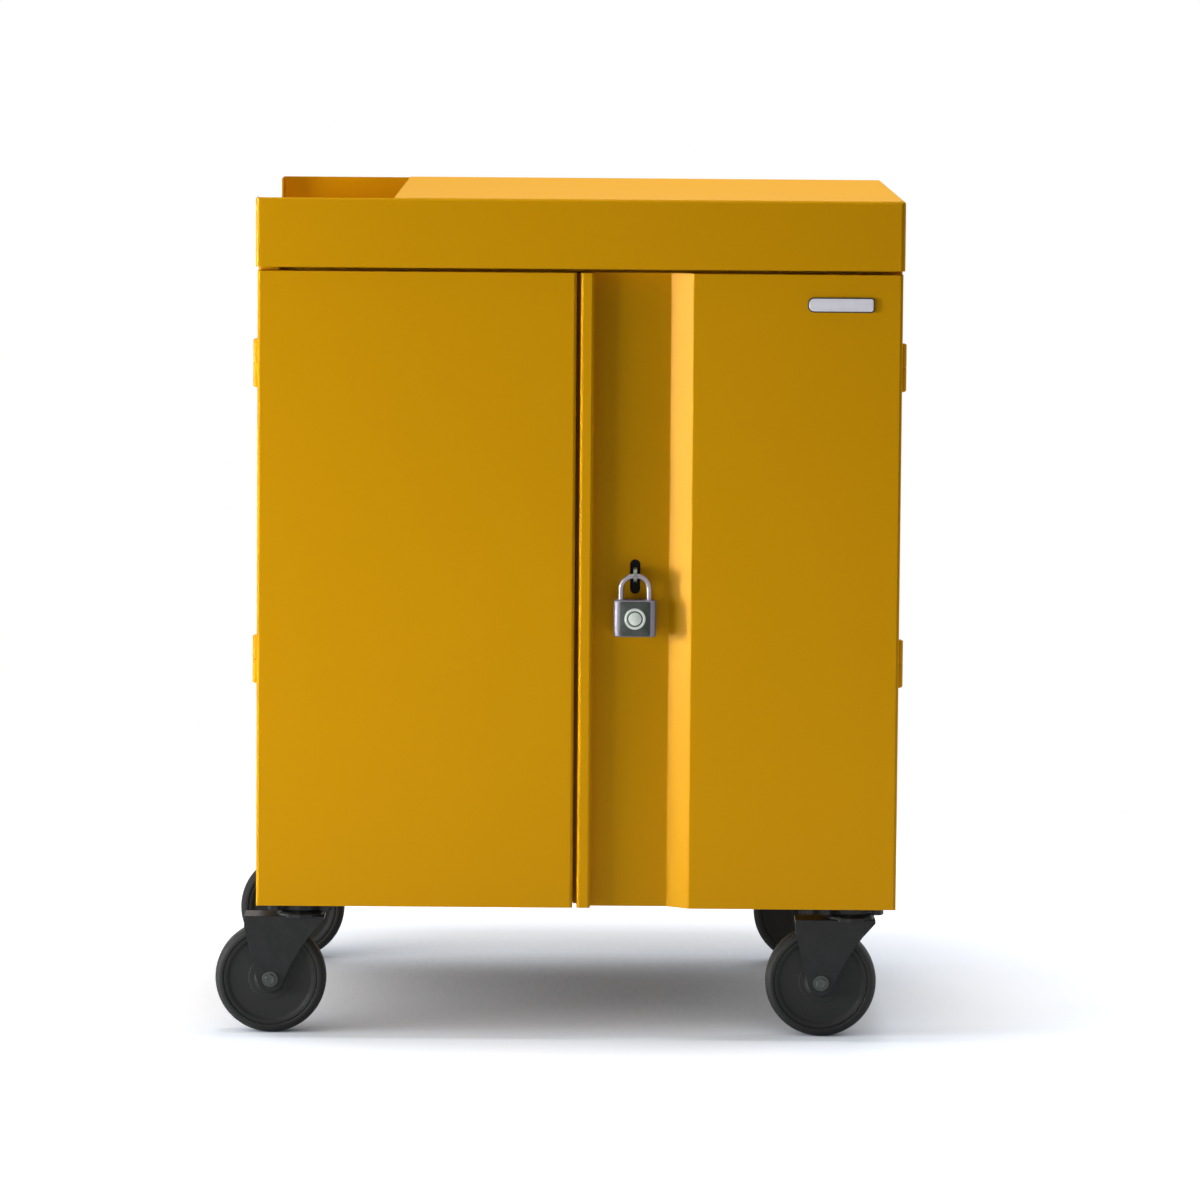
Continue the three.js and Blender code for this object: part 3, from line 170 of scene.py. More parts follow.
def turned(profile, segments=48, flats=0, across=0.0):
    """A profile of (radius, height) carried round the upright axis. With flats, no radius passes the regular
    polygon of that many sides and that distance across them."""
    profile = np.asarray(profile, float)
    angle = np.arange(segments) / segments * TURN
    radius = np.repeat(profile[:, :1], segments, axis=1)
    if flats:
        sector = TURN / flats
        limit = across / 2 / np.cos((angle + sector / 2) % sector - sector / 2)
        radius = np.minimum(radius, limit)
    height = np.repeat(profile[:, 1:], segments, axis=1)
    points = np.stack([radius * np.cos(angle), radius * np.sin(angle), height], axis=-1)
    return points.reshape(-1, 3), grid_faces(len(profile), segments, wrap_columns=True)


def rounded_outline(width, height, radius, steps=8):
    """Corner points of a rectangle with quarter-circle corners, anticlockwise from the upper right; the radius
    is one for all corners or one for each."""
    radius = np.broadcast_to(radius, 4)[:, None]
    angle = np.linspace(0, TURN / 4, steps)
    quarter = np.arange(4)[:, None]
    turn = quarter * TURN / 4 + angle
    side_x = np.array([1, -1, -1, 1])[:, None] * (width / 2 - radius)
    side_y = np.array([1, 1, -1, -1])[:, None] * (height / 2 - radius)
    return np.stack([side_x + radius * np.cos(turn), side_y + radius * np.sin(turn)], axis=-1).reshape(-1, 2)


def inset_rows(width, height, radius, profile):
    """A rounded rectangle carried along a profile of (inset, height) pairs: the outline drawn in by each inset."""
    rows = []
    for inset, rise in profile:
        corner = np.maximum(radius - inset, 0.02 * radius)
        outline = rounded_outline(width - 2 * inset, height - 2 * inset, corner)
        rows.append(np.column_stack([outline, np.full(len(outline), rise)]))
    return rows


def collar(width, height, radius, profile):
    """A rounded rectangular ring whose section is a closed profile."""
    points = np.stack(inset_rows(width, height, radius, profile))
    return points.reshape(-1, 3), grid_faces(*points.shape[:2], True, True)


def plate(width, height, radius, profile):
    """A rounded rectangle carried up a profile whose first and last rows close to the middle."""
    rows = inset_rows(width, height, radius, profile)
    middle = np.zeros_like(rows[0])
    foot, head = middle.copy(), middle.copy()
    foot[:, 2], head[:, 2] = profile[0][1], profile[-1][1]
    points = np.stack([foot, *rows, head])
    return points.reshape(-1, 3), grid_faces(*points.shape[:2], wrap_columns=True)


def swept(path, radius, segments=24):
    """A round section carried along a path in the X-Z plane: at each point a circle spanned by the Y axis and
    the path's own normal in the plane. Both ends are domed shut."""
    path = np.asarray(path, float)
    along = np.gradient(path, axis=0)
    along /= np.linalg.norm(along, axis=1, keepdims=True)
    normal = np.column_stack([-along[:, 2], np.zeros(len(path)), along[:, 0]])
    dome = np.linspace(0, TURN / 4, 5)[:-1]
    size = np.concatenate([np.sin(dome), np.ones(len(path)), np.sin(dome)[::-1]]) * radius
    shift = np.concatenate([-np.cos(dome), np.zeros(len(path)), np.cos(dome)[::-1]]) * radius * 0.3
    pick = np.clip(np.arange(len(size)) - len(dome), 0, len(path) - 1)
    centre = path[pick] + along[pick] * shift[:, None]
    angle = np.arange(segments) / segments * TURN
    ring = np.cos(angle)[None, :, None] * normal[pick][:, None] + np.sin(angle)[None, :, None] * np.array([0, 1, 0])
    points = centre[:, None] + ring * size[:, None, None]
    return points.reshape(-1, 3), grid_faces(len(size), segments, wrap_columns=True)


def placed(shape, at, towards=UP):
    """A shape with its upright axis turned to a direction and its origin moved to a place."""
    points, faces = shape
    turn = np.array(Vector(UP).rotation_difference(Vector(towards)).to_matrix())
    return points @ turn.T + np.asarray(at, float), faces


def facing_front(shape, at):
    """A flat shape stood up: its width stays along X, its height goes up Z and its rise comes forwards."""
    points, faces = shape
    return np.column_stack([points[:, 0], -points[:, 2], points[:, 1]]) + np.asarray(at, float), faces


def together(shapes):
    """Several shapes as one."""
    starts = np.cumsum([0] + [len(points) for points, _ in shapes[:-1]])
    points = np.concatenate([points for points, _ in shapes])
    faces = np.concatenate([faces + start for (_, faces), start in zip(shapes, starts)])
    return points, faces


def make_piece(name, shapes, finish, body, stands_for=(), crease=35):
    """One object at the origin from shapes: doubles merged, faces outwards, smooth below the crease angle."""
    points, faces = together(shapes)
    mesh = bpy.data.meshes.new(name)
    mesh.from_pydata(points.tolist(), [], faces.tolist())
    work = bmesh.new()
    work.from_mesh(mesh)
    bmesh.ops.remove_doubles(work, verts=work.verts, dist=1e-6)
    bmesh.ops.dissolve_degenerate(work, edges=work.edges, dist=1e-7)
    bmesh.ops.recalc_face_normals(work, faces=work.faces)
    work.to_mesh(mesh)
    work.free()
    mesh.polygons.foreach_set("use_smooth", np.ones(len(mesh.polygons), bool))
    mesh.set_sharp_from_angle(angle=math.radians(crease))
    mesh.materials.append(finish)
    piece = bpy.data.objects.new(name, mesh)
    bpy.context.scene.collection.objects.link(piece)
    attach(piece, body)
    if stands_for:
        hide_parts(*stands_for)
    return piece


# Finishes

class Wire:
    """An output of a finish's nodes. Arithmetic on wires, or on wires and numbers, adds Math nodes."""

    def __init__(self, finish, socket):
        self.finish = finish
        self.socket = socket

    def __add__(self, other):
        return self.finish.maths("ADD", self, other)

    def __radd__(self, other):
        return self.finish.maths("ADD", other, self)

    def __sub__(self, other):
        return self.finish.maths("SUBTRACT", self, other)

    def __rsub__(self, other):
        return self.finish.maths("SUBTRACT", other, self)

    def __mul__(self, other):
        return self.finish.maths("MULTIPLY", self, other)

    def __rmul__(self, other):
        return self.finish.maths("MULTIPLY", other, self)

    def __truediv__(self, other):
        return self.finish.maths("DIVIDE", self, other)

    def __rtruediv__(self, other):
        return self.finish.maths("DIVIDE", other, self)

    def above(self, low, high):
        """0 below low, 1 above high, and an even ramp between."""
        return self.finish.node(
            "ShaderNodeMapRange", {"clamp": True}, {"Value": self, "From Min": low, "From Max": high}
        )


class Finish:
    """A material being made. node() adds any node and gives back the wire of one of its outputs."""

    def __init__(self, name):
        self.material = bpy.data.materials.new(name)
        self.material.use_nodes = True
        self.tree = self.material.node_tree
        self.shader = self.tree.nodes["Principled BSDF"]
        self.place = self.node("ShaderNodeTexCoord", output="Object")

    def node(self, kind, settings=None, sockets=None, output=0):
        node = self.tree.nodes.new(kind)
        for key, value in (settings or {}).items():
            setattr(node, key, value)
        for key, value in (sockets or {}).items():
            self.plug(node.inputs[key], value)
        return Wire(self, node.outputs[output])

    def plug(self, socket, value):
        if isinstance(value, Wire):
            self.tree.links.new(value.socket, socket)
        else:
            socket.default_value = value

    def maths(self, operation, first, second):
        return self.node("ShaderNodeMath", {"operation": operation}, {0: first, 1: second})

    def noise(self, scale, detail=2.0, roughness=0.5, place=None):
        sockets = {"Vector": place or self.place, "Scale": scale, "Detail": detail, "Roughness": roughness}
        return self.node("ShaderNodeTexNoise", sockets=sockets)

    def stretched(self, scale):
        """The object's coordinates, scaled by an amount for each axis."""
        return self.node("ShaderNodeMapping", sockets={"Vector": self.place, "Scale": scale})

    def mixed(self, share, first, second, way="MIX"):
        settings = {"data_type": "RGBA", "blend_type": way}
        return self.node("ShaderNodeMix", settings, {0: share, 6: first, 7: second}, output=2)

    def bump(self, height, strength, distance, normal=None):
        sockets = {"Height": height, "Strength": strength, "Distance": distance}
        if normal:
            sockets["Normal"] = normal
        return self.node("ShaderNodeBump", sockets=sockets)

    def round_edges(self, radius):
        """The normal as it would be if every edge had that radius, and how far it turns from the face's own."""
        rounded = self.node("ShaderNodeBevel", {"samples": 8}, {"Radius": radius})
        own = self.node("ShaderNodeNewGeometry", output="True Normal")
        agree = self.node("ShaderNodeVectorMath", {"operation": "DOT_PRODUCT"}, {0: rounded, 1: own}, "Value")
        return rounded, (1 - agree).above(0.01, 0.16)

    def done(self, **sockets):
        """Sets the shader's sockets, named in plain words with underscores, and gives back the material."""
        for key, value in sockets.items():
            self.plug(self.shader.inputs[key.replace("_", " ").replace("Ior", "IOR")], value)
        return self.material


def colour(red, green, blue):
    """A display colour from 0 to 255 as the linear values that shaders take."""
    share = np.array([red, green, blue]) / 255
    linear = np.where(share <= 0.04045, share / 12.92, ((share + 0.055) / 1.055) ** 2.4)
    return (*linear.tolist(), 1.0)


def powder_coat(name, paint, thin):
    """Baked paint: a fine orange peel, faint cloudiness, and a thinner, paler film along the edges."""
    finish = Finish(name)
    cloud = finish.noise(4.0, detail=3.0)
    speck = finish.noise(900.0, detail=1.0)
    rub = finish.noise(14.0, detail=5.0, roughness=0.65)
    peel = finish.noise(420.0, detail=2.0)
    rounded, edge = finish.round_edges(1.0 * MM)
    tone = 0.955 + 0.06 * cloud + 0.03 * speck
    film = finish.mixed(1.0, paint, tone, "MULTIPLY")
    worn = finish.mixed(edge * rub.above(0.35, 0.75) * 0.2, film, thin)
    return finish.done(
        Base_Color=worn,
        Roughness=0.56 + 0.1 * rub + 0.06 * peel,
        Specular_Ior_Level=0.0,
        Coat_Weight=0.12,
        Coat_Roughness=0.3,
        Normal=finish.bump(peel, 0.06, 0.3 * MM, rounded),
    )


def plated_steel(name, metal, shade, rough=0.3):
    """Zinc plate: a crystal spangle in tone and gloss under fine drawing lines, brighter where edges rub."""
    finish = Finish(name)
    spangle = finish.node("ShaderNodeTexVoronoi", sockets={"Vector": finish.place, "Scale": 160.0}, output="Color")
    cell = finish.node("ShaderNodeSeparateColor", sockets={0: spangle})
    lines = finish.noise(60.0, detail=3.0, place=finish.stretched((40.0, 40.0, 2.0)))
    stain = finish.noise(22.0, detail=4.0)
    rounded, edge = finish.round_edges(0.6 * MM)
    tone = 0.35 * cell + 0.4 * lines + 0.25 * stain
    body = finish.mixed(tone, shade, metal)
    return finish.done(
        Base_Color=finish.mixed(edge * 0.5, body, metal),
        Metallic=1.0,
        Roughness=rough + 0.12 * cell + 0.1 * stain,
        Normal=finish.bump(lines, 0.05, 0.1 * MM, rounded),
    )


def coated_steel(name, coat, bare, gloss=0.2):
    """Dark dipped steel: a satin film with dust in it, rubbed to a greyer tone along the edges."""
    finish = Finish(name)
    dust = finish.noise(70.0, detail=5.0, roughness=0.7)
    grain = finish.noise(1200.0, detail=1.0)
    rounded, edge = finish.round_edges(0.8 * MM)
    film = finish.mixed(dust.above(0.45, 0.85) * 0.5, coat, bare)
    return finish.done(
        Base_Color=finish.mixed(edge * dust.above(0.3, 0.6) * 0.6, film, bare),
        Roughness=0.38 + 0.2 * dust,
        Specular_Ior_Level=gloss,
        Normal=finish.bump(grain, 0.05, 0.1 * MM, rounded),
    )


def moulded(name, dark, light, grain_scale=1500.0, rough=0.45, gloss=0.2):
    """Moulded plastic: a spark-eroded grain, slow tone drift and lighter scuffs."""
    finish = Finish(name)
    grain = finish.noise(grain_scale, detail=2.0)
    drift = finish.noise(18.0, detail=4.0, roughness=0.6)
    scuff = finish.noise(90.0, detail=6.0, roughness=0.75)
    rounded, edge = finish.round_edges(0.5 * MM)
    share = 0.3 * drift + scuff.above(0.58, 0.8) * 0.35 + edge * 0.2
    return finish.done(
        Base_Color=finish.mixed(share, dark, light),
        Roughness=rough + 0.15 * drift + 0.05 * grain,
        Specular_Ior_Level=gloss,
        Normal=finish.bump(grain, 0.12, 0.1 * MM, rounded),
    )


def painted_shade_behind(name, bright, black, from_y):
    """Steel left bright in front of a plane and painted black behind it, as painted shade where it is seen through a
    slot; the change is over a millimetre.
    """
    finish = Finish(name)
    across = finish.node("ShaderNodeSeparateXYZ", sockets={0: finish.place}, output="Y")
    painted_shade = across.above(from_y, from_y + 1 * MM)
    stain = finish.noise(60.0, detail=4.0)
    rounded, edge = finish.round_edges(0.6 * MM)
    return finish.done(
        Base_Color=finish.mixed(painted_shade, bright, black),
        Metallic=0.9 - 0.9 * painted_shade,
        Roughness=0.34 + 0.2 * stain + 0.2 * painted_shade,
        Specular_Ior_Level=0.1,
        Normal=rounded,
    )


def brushed(name, bright, dull, stretch, metallic=1.0, rough=0.28):
    """Metal with fine lines along one way, from noise drawn out along that axis."""
    finish = Finish(name)
    lines = finish.noise(80.0, detail=4.0, place=finish.stretched(stretch))
    haze = finish.noise(120.0, detail=3.0)
    return finish.done(
        Base_Color=finish.mixed(0.65 * lines + 0.35 * haze, dull, bright),
        Metallic=metallic,
        Roughness=rough + 0.15 * lines + 0.06 * haze,
        Normal=finish.bump(lines, 0.06, 0.05 * MM),
    )


yellow = powder_coat("yellow_powder_coat", colour(214, 154, 8), colour(228, 178, 72))
zinc = plated_steel("zinc_plate", colour(206, 208, 212), colour(138, 141, 146))
caster_coat = coated_steel("caster_coat", colour(32, 33, 33), colour(58, 59, 60))
tread = moulded("wheel_polymer", colour(38, 39, 38), colour(74, 75, 74), 900.0, 0.5)
black_plastic = moulded("black_plastic", colour(22, 23, 25), colour(52, 53, 56))
rim_plastic = moulded("outlet_rim_plastic", colour(58, 60, 63), colour(92, 94, 98))
grey_plastic = moulded("grey_rack_plastic", colour(136, 139, 143), colour(168, 171, 175))
bright_steel = brushed("bright_steel", colour(162, 155, 161), colour(116, 112, 118), (3.0, 3.0, 0.4), rough=0.32)
case_steel = brushed("padlock_case", colour(138, 134, 142), colour(92, 93, 106), (4.0, 4.0, 0.2), rough=0.46)
cover_paint = coated_steel("padlock_cover", colour(66, 71, 67), colour(104, 108, 104))
badge_metal = brushed("badge_metal", colour(204, 203, 209), colour(168, 168, 176), (0.3, 4.0, 4.0), rough=0.42)
badge_edge = coated_steel("badge_edge", colour(58, 54, 46), colour(104, 98, 84))
dull_steel = plated_steel("dull_plate", colour(92, 95, 92), colour(58, 61, 60), rough=0.5)
disc_metal = brushed("disc_metal", colour(214, 220, 212), colour(176, 184, 176), (3.0, 3.0, 3.0), 0.4, 0.36)
# The lock bar is black behind the trough face: painted shade for the slot it is seen through.
hasp = painted_shade_behind("hasp_steel_painted_shade", colour(116, 122, 117), colour(14, 14, 15), -0.3055)

PAINTED = (
    "base_pan", "left_side", "right_side", "ceiling_panel", "top_cap", "mid_shelf", "lower_power_wall",
    "upper_power_wall", "left_door", "right_door", "rear_door",
)
ZINCED = ("left_lower_bolt", "left_upper_bolt", "rear_cam")
MOULDED_BLACK = ("lower_power_strip", "upper_power_strip", "lower_switch", "upper_switch", "power_inlet")


def dress(names, finish):
    """Gives CAD nodes a finish in place of the plain one they were packed with."""
    for name in names:
        slots = nodes[name].data.materials
        slots.clear()
        slots.append(finish)


hinges = [f"{door}_{level}_hinge" for door in ("left", "right", "rear") for level in LEVELS]
dress(PAINTED, yellow)
dress(ZINCED, zinc)
dress(MOULDED_BLACK, black_plastic)
dress(("lower_rack", "upper_rack"), grey_plastic)
dress(("lock_bar",), hasp)
dress([f"{hinge}_pin" for hinge in hinges], zinc)
dress([f"{corner}_caster_plate" for corner in CORNERS], caster_coat)
dress([f"{corner}_caster_fork" for corner in CORNERS], caster_coat)
dress(("rear_left_brake_lever", "rear_right_brake_lever"), caster_coat)


# Casters

def middle_of(node):
    low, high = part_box(node)
    return (low + high) / 2


def wheel_shape(radius):
    """Hub, recessed web, rim lip and rounded tread: half a profile, mirrored, softened and turned."""
    half = [
        (BORE, HUB_FACE), (HUB - 2 * MM, HUB_FACE), (HUB, HUB_FACE - 1.6 * MM), (HUB + 2.5 * MM, WEB_FACE + 0.6 * MM),
        (HUB + 9 * MM, WEB_FACE + 0.6 * MM), (HUB + 10.5 * MM, WEB_FACE), (RIM - 7 * MM, WEB_FACE),
        (RIM - 4 * MM, TREAD_FACE - 1.2 * MM), (RIM - 0.8 * MM, TREAD_FACE - 0.8 * MM), (RIM, TREAD_FACE - 1.8 * MM),
        (RIM + 0.9 * MM, TREAD_FACE), (radius - 5.4 * MM, TREAD_FACE), (radius - 1.2 * MM, TREAD_FACE - 4 * MM),
        (radius, TREAD_FACE - 8.5 * MM),
    ]
    side = softened(half + [(radius, 0.0)], WHEEL_ROUNDING, 6)
    other = side[::-1] * np.array([1, -1])
    return turned(np.concatenate([side, other[1:], side[:1]]), WHEEL_SEGMENTS)


def hex_head(across, height):
    """A bolt head: a turned disc whose radius stops at the hexagon, with its top edge chamfered."""
    corner = across / 2 / math.cos(TURN / 12)
    chamfer = (corner - across / 2) * 0.8
    profile = [
        (0, 0), (corner, 0), (corner, height - chamfer), (0.94 * across / 2, height),
        (0.5 * across / 2, height), (0.44 * across / 2, height - 0.3 * MM), (0, height - 0.3 * MM),
    ]
    return turned(profile, 72, 6, across)


def washer_ring(diameter, thickness):
    radius = diameter / 2
    edge = 0.25 * thickness
    return turned([(0, 0), (radius, 0), (radius, thickness - edge), (radius - edge, thickness), (0, thickness)], 48)


def plate_bolts(plate_node):
    """Four bolt heads with washers, hanging under a caster plate at its holes."""
    low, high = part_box(plate_node)
    middle = (low + high) / 2
    reach = [(high.x - low.x) / 2 - PLATE_HOLE_INSET, (high.y - low.y) / 2 - PLATE_HOLE_INSET]
    under = high.z - PLATE_THICKNESS
    shapes = []
    for x in (-reach[0], reach[0]):
        for y in (-reach[1], reach[1]):
            at = np.array([middle.x + x, middle.y + y, under])
            shapes.append(placed(washer_ring(WASHER, WASHER_THICKNESS), at, (0, 0, -1)))
            shapes.append(placed(hex_head(BOLT_ACROSS, BOLT_HEAD), at - [0, 0, WASHER_THICKNESS], (0, 0, -1)))
    return shapes


def axle_shapes(axle_node):
    """Flanged hexagon head in front, flanged nut and bolt end behind, and the shank between."""
    low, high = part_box(axle_node)
    middle = (low + high) / 2
    front = low.y + AXLE_HEAD
    back = front + 2 * (middle_of(axle_node.replace("axle", "wheel")).y - front)
    flange = washer_ring(AXLE_FLANGE, WASHER_THICKNESS)
    shank = turned([(0, 0), (AXLE_STUB / 2, 0), (AXLE_STUB / 2, high.y - front - 0.6 * MM),
                    (AXLE_STUB / 2 - 0.6 * MM, high.y - front), (0, high.y - front)], 32)
    at_front = (middle.x, front, middle.z)
    at_back = (middle.x, back, middle.z)
    return [
        placed(flange, at_front, FRONT),
        placed(hex_head(AXLE_ACROSS, AXLE_HEAD), at_front, FRONT),
        placed(flange, at_back, BACK),
        placed(hex_head(AXLE_ACROSS, AXLE_HEAD), at_back, BACK),
        placed(shank, at_front, BACK),
    ]


for corner in CORNERS:
    wheel_node = f"{corner}_caster_wheel"
    low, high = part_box(wheel_node)
    wheel = placed(wheel_shape((high.z - low.z) / 2), (low + high) / 2, BACK)
    make_piece(f"{corner}_wheel", [wheel], tread, f"{corner}_wheel", [wheel_node], 28)
    axle_node = f"{corner}_caster_axle"
    make_piece(f"{corner}_axle", axle_shapes(axle_node), dull_steel, f"{corner}_swivel", [axle_node])
    make_piece(f"{corner}_plate_bolts", plate_bolts(f"{corner}_caster_plate"), caster_coat, "cabinet")


# Hinges

def hinge_half(node, upwards):
    """A barrel with a domed far end and an eased rim where the two halves meet."""
    low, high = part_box(node)
    radius = min(high.x - low.x, high.y - low.y) / 2
    length = high.z - low.z
    t = np.linspace(0, TURN / 4, 9)
    dome = np.column_stack([radius * np.cos(t), length - 0.5 * radius + 0.5 * radius * np.sin(t)])
    rim = [(0, 0), (radius - 0.4 * MM, 0), (radius, 0.4 * MM)]
    shape = turned(np.concatenate([rim, dome]), 48)
    middle = (low + high) / 2
    start = low.z if upwards else high.z
    return placed(shape, (middle.x, middle.y, start), UP if upwards else (0, 0, -1))


for hinge in hinges:
    door = hinge.split("_")[0] + "_door"
    for part, upwards, body in (("socket", True, door), ("base", False, "cabinet")):
        node = f"{hinge}_{part}"
        make_piece(f"{node}_barrel", [hinge_half(node, upwards)], yellow, body, [node])


# Padlock

def shackle_path(half, rise, long_leg):
    """Up the long leg, a quarter turn, along the top, a quarter turn, and down the short leg."""
    bend = 0.9 * min(half, rise)
    flat = half - bend
    spring = rise - bend
    t = np.linspace(0, TURN / 4, 24)
    up = np.column_stack([np.full(12, -half), np.linspace(-long_leg, spring, 12)])
    over = np.column_stack([-flat - bend * np.cos(t), spring + bend * np.sin(t)])
    down = over[::-1] * np.array([-1, 1])
    leg = np.column_stack([np.full(8, half), np.linspace(spring, -SHACKLE_SHORT_LEG, 8)])
    line = np.concatenate([up[:-1], over, down, leg[1:]])
    return np.column_stack([line[:, 0], np.zeros(len(line)), line[:, 1]])


case_low, case_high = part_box("padlock_body")
case_middle = (case_low + case_high) / 2
case_top = np.array([case_middle.x, case_middle.y, case_high.z])
bow_low, bow_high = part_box("padlock_shackle")
bow_half = (bow_high.x - bow_low.x - SHACKLE) / 2
bow_rise = bow_high.z - SHACKLE / 2 - case_high.z
path = shackle_path(bow_half, bow_rise, case_high.z - bow_low.z) + case_top
make_piece(
    "padlock_bow", [swept(path, SHACKLE / 2, 32)], bright_steel, "padlock_shackle",
    ["padlock_shackle"],
)

case_width, case_depth, case_height = case_high - case_low
body_depth = case_depth - COVER_RISE - DISC_RISE
t = np.linspace(0, TURN / 4, 6)
lower_edge = np.column_stack([PADLOCK_EDGE * (1 - np.sin(t)), PADLOCK_EDGE * (1 - np.cos(t))])
upper_edge = np.column_stack([PADLOCK_EDGE * (1 - np.cos(t)), case_height - PADLOCK_EDGE * (1 - np.sin(t))])
case_shape = plate(case_width, body_depth, PADLOCK_ROUNDING, np.concatenate([lower_edge, upper_edge]))
case_at = np.array([case_middle.x, case_middle.y + (COVER_RISE + DISC_RISE) / 2, case_low.z])
collars = [
    placed(
        turned([(SHACKLE / 2 + 0.3 * MM, 0), (COLLAR / 2, 0), (COLLAR / 2, 0.8 * MM), (COLLAR / 2 - 0.4 * MM, 1.2 * MM),
                (SHACKLE / 2 + 0.3 * MM, 1.2 * MM), (SHACKLE / 2 + 0.3 * MM, 0)], 40),
        case_top + [side * bow_half, 0, -0.4 * MM],
    )
    for side in (-1, 1)
]
keyway = placed(
    turned([(0, 0), (6 * MM, 0), (6 * MM, 0.4 * MM), (5.2 * MM, 0.4 * MM), (4.8 * MM, 0.1 * MM), (0, 0.1 * MM)], 48),
    (case_middle.x, case_middle.y, case_low.z), (0, 0, -1),
)
make_piece(
    "padlock_shell", [placed(case_shape, case_at), *collars, keyway], case_steel, "padlock_body",
    ["padlock_body"],
)
front_of_case = case_low.y + COVER_RISE + DISC_RISE
cover = plate(
    COVER_WIDTH, case_height - 2 * COVER_MARGIN, 2.5 * MM,
    [(0, -0.5 * MM), (0, COVER_RISE - 0.5 * MM), (0.2 * MM, COVER_RISE - 0.15 * MM), (0.6 * MM, COVER_RISE)],
)
cover_at = np.array([case_middle.x, front_of_case, case_middle.z])
make_piece("padlock_cover", [facing_front(cover, cover_at)], cover_paint, "padlock_body")
rim, field = DISC / 2, DISC / 2 - DISC_RIM - DISC_GROOVE
disc_rim = turned([
    (rim - DISC_RIM, -0.2 * MM), (rim, -0.2 * MM), (rim, 0.6 * DISC_RISE), (rim - 0.3 * MM, DISC_RISE),
    (rim - DISC_RIM + 0.3 * MM, DISC_RISE), (rim - DISC_RIM, 0.6 * DISC_RISE), (rim - DISC_RIM, -0.2 * MM),
], 72)
disc_field = turned([(0, -0.2 * MM), (field, -0.2 * MM), (field, 0.5 * DISC_RISE), (field - 0.5 * MM, DISC_RISE),
                     (0, DISC_RISE)], 72)
disc_at = (case_middle.x, case_low.y + DISC_RISE, case_middle.z)
make_piece(
    "padlock_disc", [placed(disc_rim, disc_at, FRONT), placed(disc_field, disc_at, FRONT)], disc_metal,
    "padlock_body",
)


# Power outlets and inlet

def facing_back(shape, at):
    """A flat shape stood up with its rise towards the back."""
    points, faces = shape
    return np.column_stack([-points[:, 0], points[:, 2], points[:, 1]]) + np.asarray(at, float), faces


outlet_rim = collar(
    OUTLET_WIDTH, OUTLET_HEIGHT, 5 * MM,
    [(0, 0), (0, 0.7 * OUTLET_RISE), (0.3 * MM, OUTLET_RISE), (OUTLET_RIM - 0.3 * MM, OUTLET_RISE),
     (OUTLET_RIM, 0.7 * OUTLET_RISE), (OUTLET_RIM, 0)],
)
for level in LEVELS:
    low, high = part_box(f"{level}_power_strip")
    pitch = 2 * (high.x - 2 * OUTLET_SWITCH) / OUTLETS
    first = -(OUTLETS - 1) / 2 * pitch - OUTLET_SWITCH / 2
    rims = [
        facing_back(outlet_rim, (first + i * pitch, high.y, (low.z + high.z) / 2)) for i in range(OUTLETS)
    ]
    make_piece(f"{level}_outlet_rims", rims, rim_plastic, "cabinet")

low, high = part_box("power_inlet")
inlet_middle = (low + high) / 2
prong_foot = low.x + 2 * INLET_WALL
sleeve = plate(*PRONG_SLEEVE, 0.7 * MM, [(0, 0), (0, PRONG_LENGTH - 0.4 * MM), (0.5 * MM, PRONG_LENGTH + 0.2 * MM)])
prongs = [
    placed(sleeve, (prong_foot, inlet_middle.y + y, inlet_middle.z + z), RIGHT)
    for y, z in ((-INLET_BODY / 5, -INLET_WALL), (INLET_BODY / 5, -INLET_WALL), (0, INLET_WALL))
]
make_piece("inlet_prongs", prongs, bright_steel, "cabinet")


# Name plate

badge_at = np.array([BADGE_X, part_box("right_door")[0].y, BADGE_Z])
badge_tray = plate(
    BADGE_WIDTH, BADGE_HEIGHT, BADGE_ROUNDING,
    [(0, 0), (0, 0.8 * BADGE_RISE), (0.25 * MM, BADGE_RISE), (0.8 * BADGE_RIM, BADGE_RISE),
     (BADGE_RIM, 0.6 * BADGE_RISE)],
)
badge_field = plate(
    BADGE_WIDTH - 2 * BADGE_RIM, BADGE_HEIGHT - 2 * BADGE_RIM, BADGE_ROUNDING - BADGE_RIM,
    [(0, 0.3 * BADGE_RISE), (0, 0.75 * BADGE_RISE), (0.5 * MM, 0.95 * BADGE_RISE), (2 * MM, BADGE_RISE)],
)
make_piece("badge_rim", [facing_front(badge_tray, badge_at)], badge_edge, "right_door")
make_piece("badge_plate", [facing_front(badge_field, badge_at)], badge_metal, "right_door")


# Camera, light and floor

def make_camera():
    """Forward from yaw and pitch, right level with the floor, and both then rolled about forward."""
    forward = Vector((
        math.sin(EYE_YAW) * math.cos(EYE_PITCH), math.cos(EYE_YAW) * math.cos(EYE_PITCH), math.sin(EYE_PITCH),
    ))
    level = Vector((math.cos(EYE_YAW), -math.sin(EYE_YAW), 0))
    above = level.cross(forward)
    right = level * math.cos(EYE_ROLL) + above * math.sin(EYE_ROLL)
    up = above * math.cos(EYE_ROLL) - level * math.sin(EYE_ROLL)
    data = bpy.data.cameras.new("photo_camera")
    data.sensor_width = SENSOR
    data.lens = FOCAL_SHARE * SENSOR
    data.clip_start, data.clip_end = 0.1, 100.0
    camera = bpy.data.objects.new("photo_camera", data)
    camera.matrix_world = Matrix.Translation(EYE) @ Matrix((right, up, -forward)).transposed().to_4x4()
    bpy.context.scene.collection.objects.link(camera)
    bpy.context.scene.camera = camera


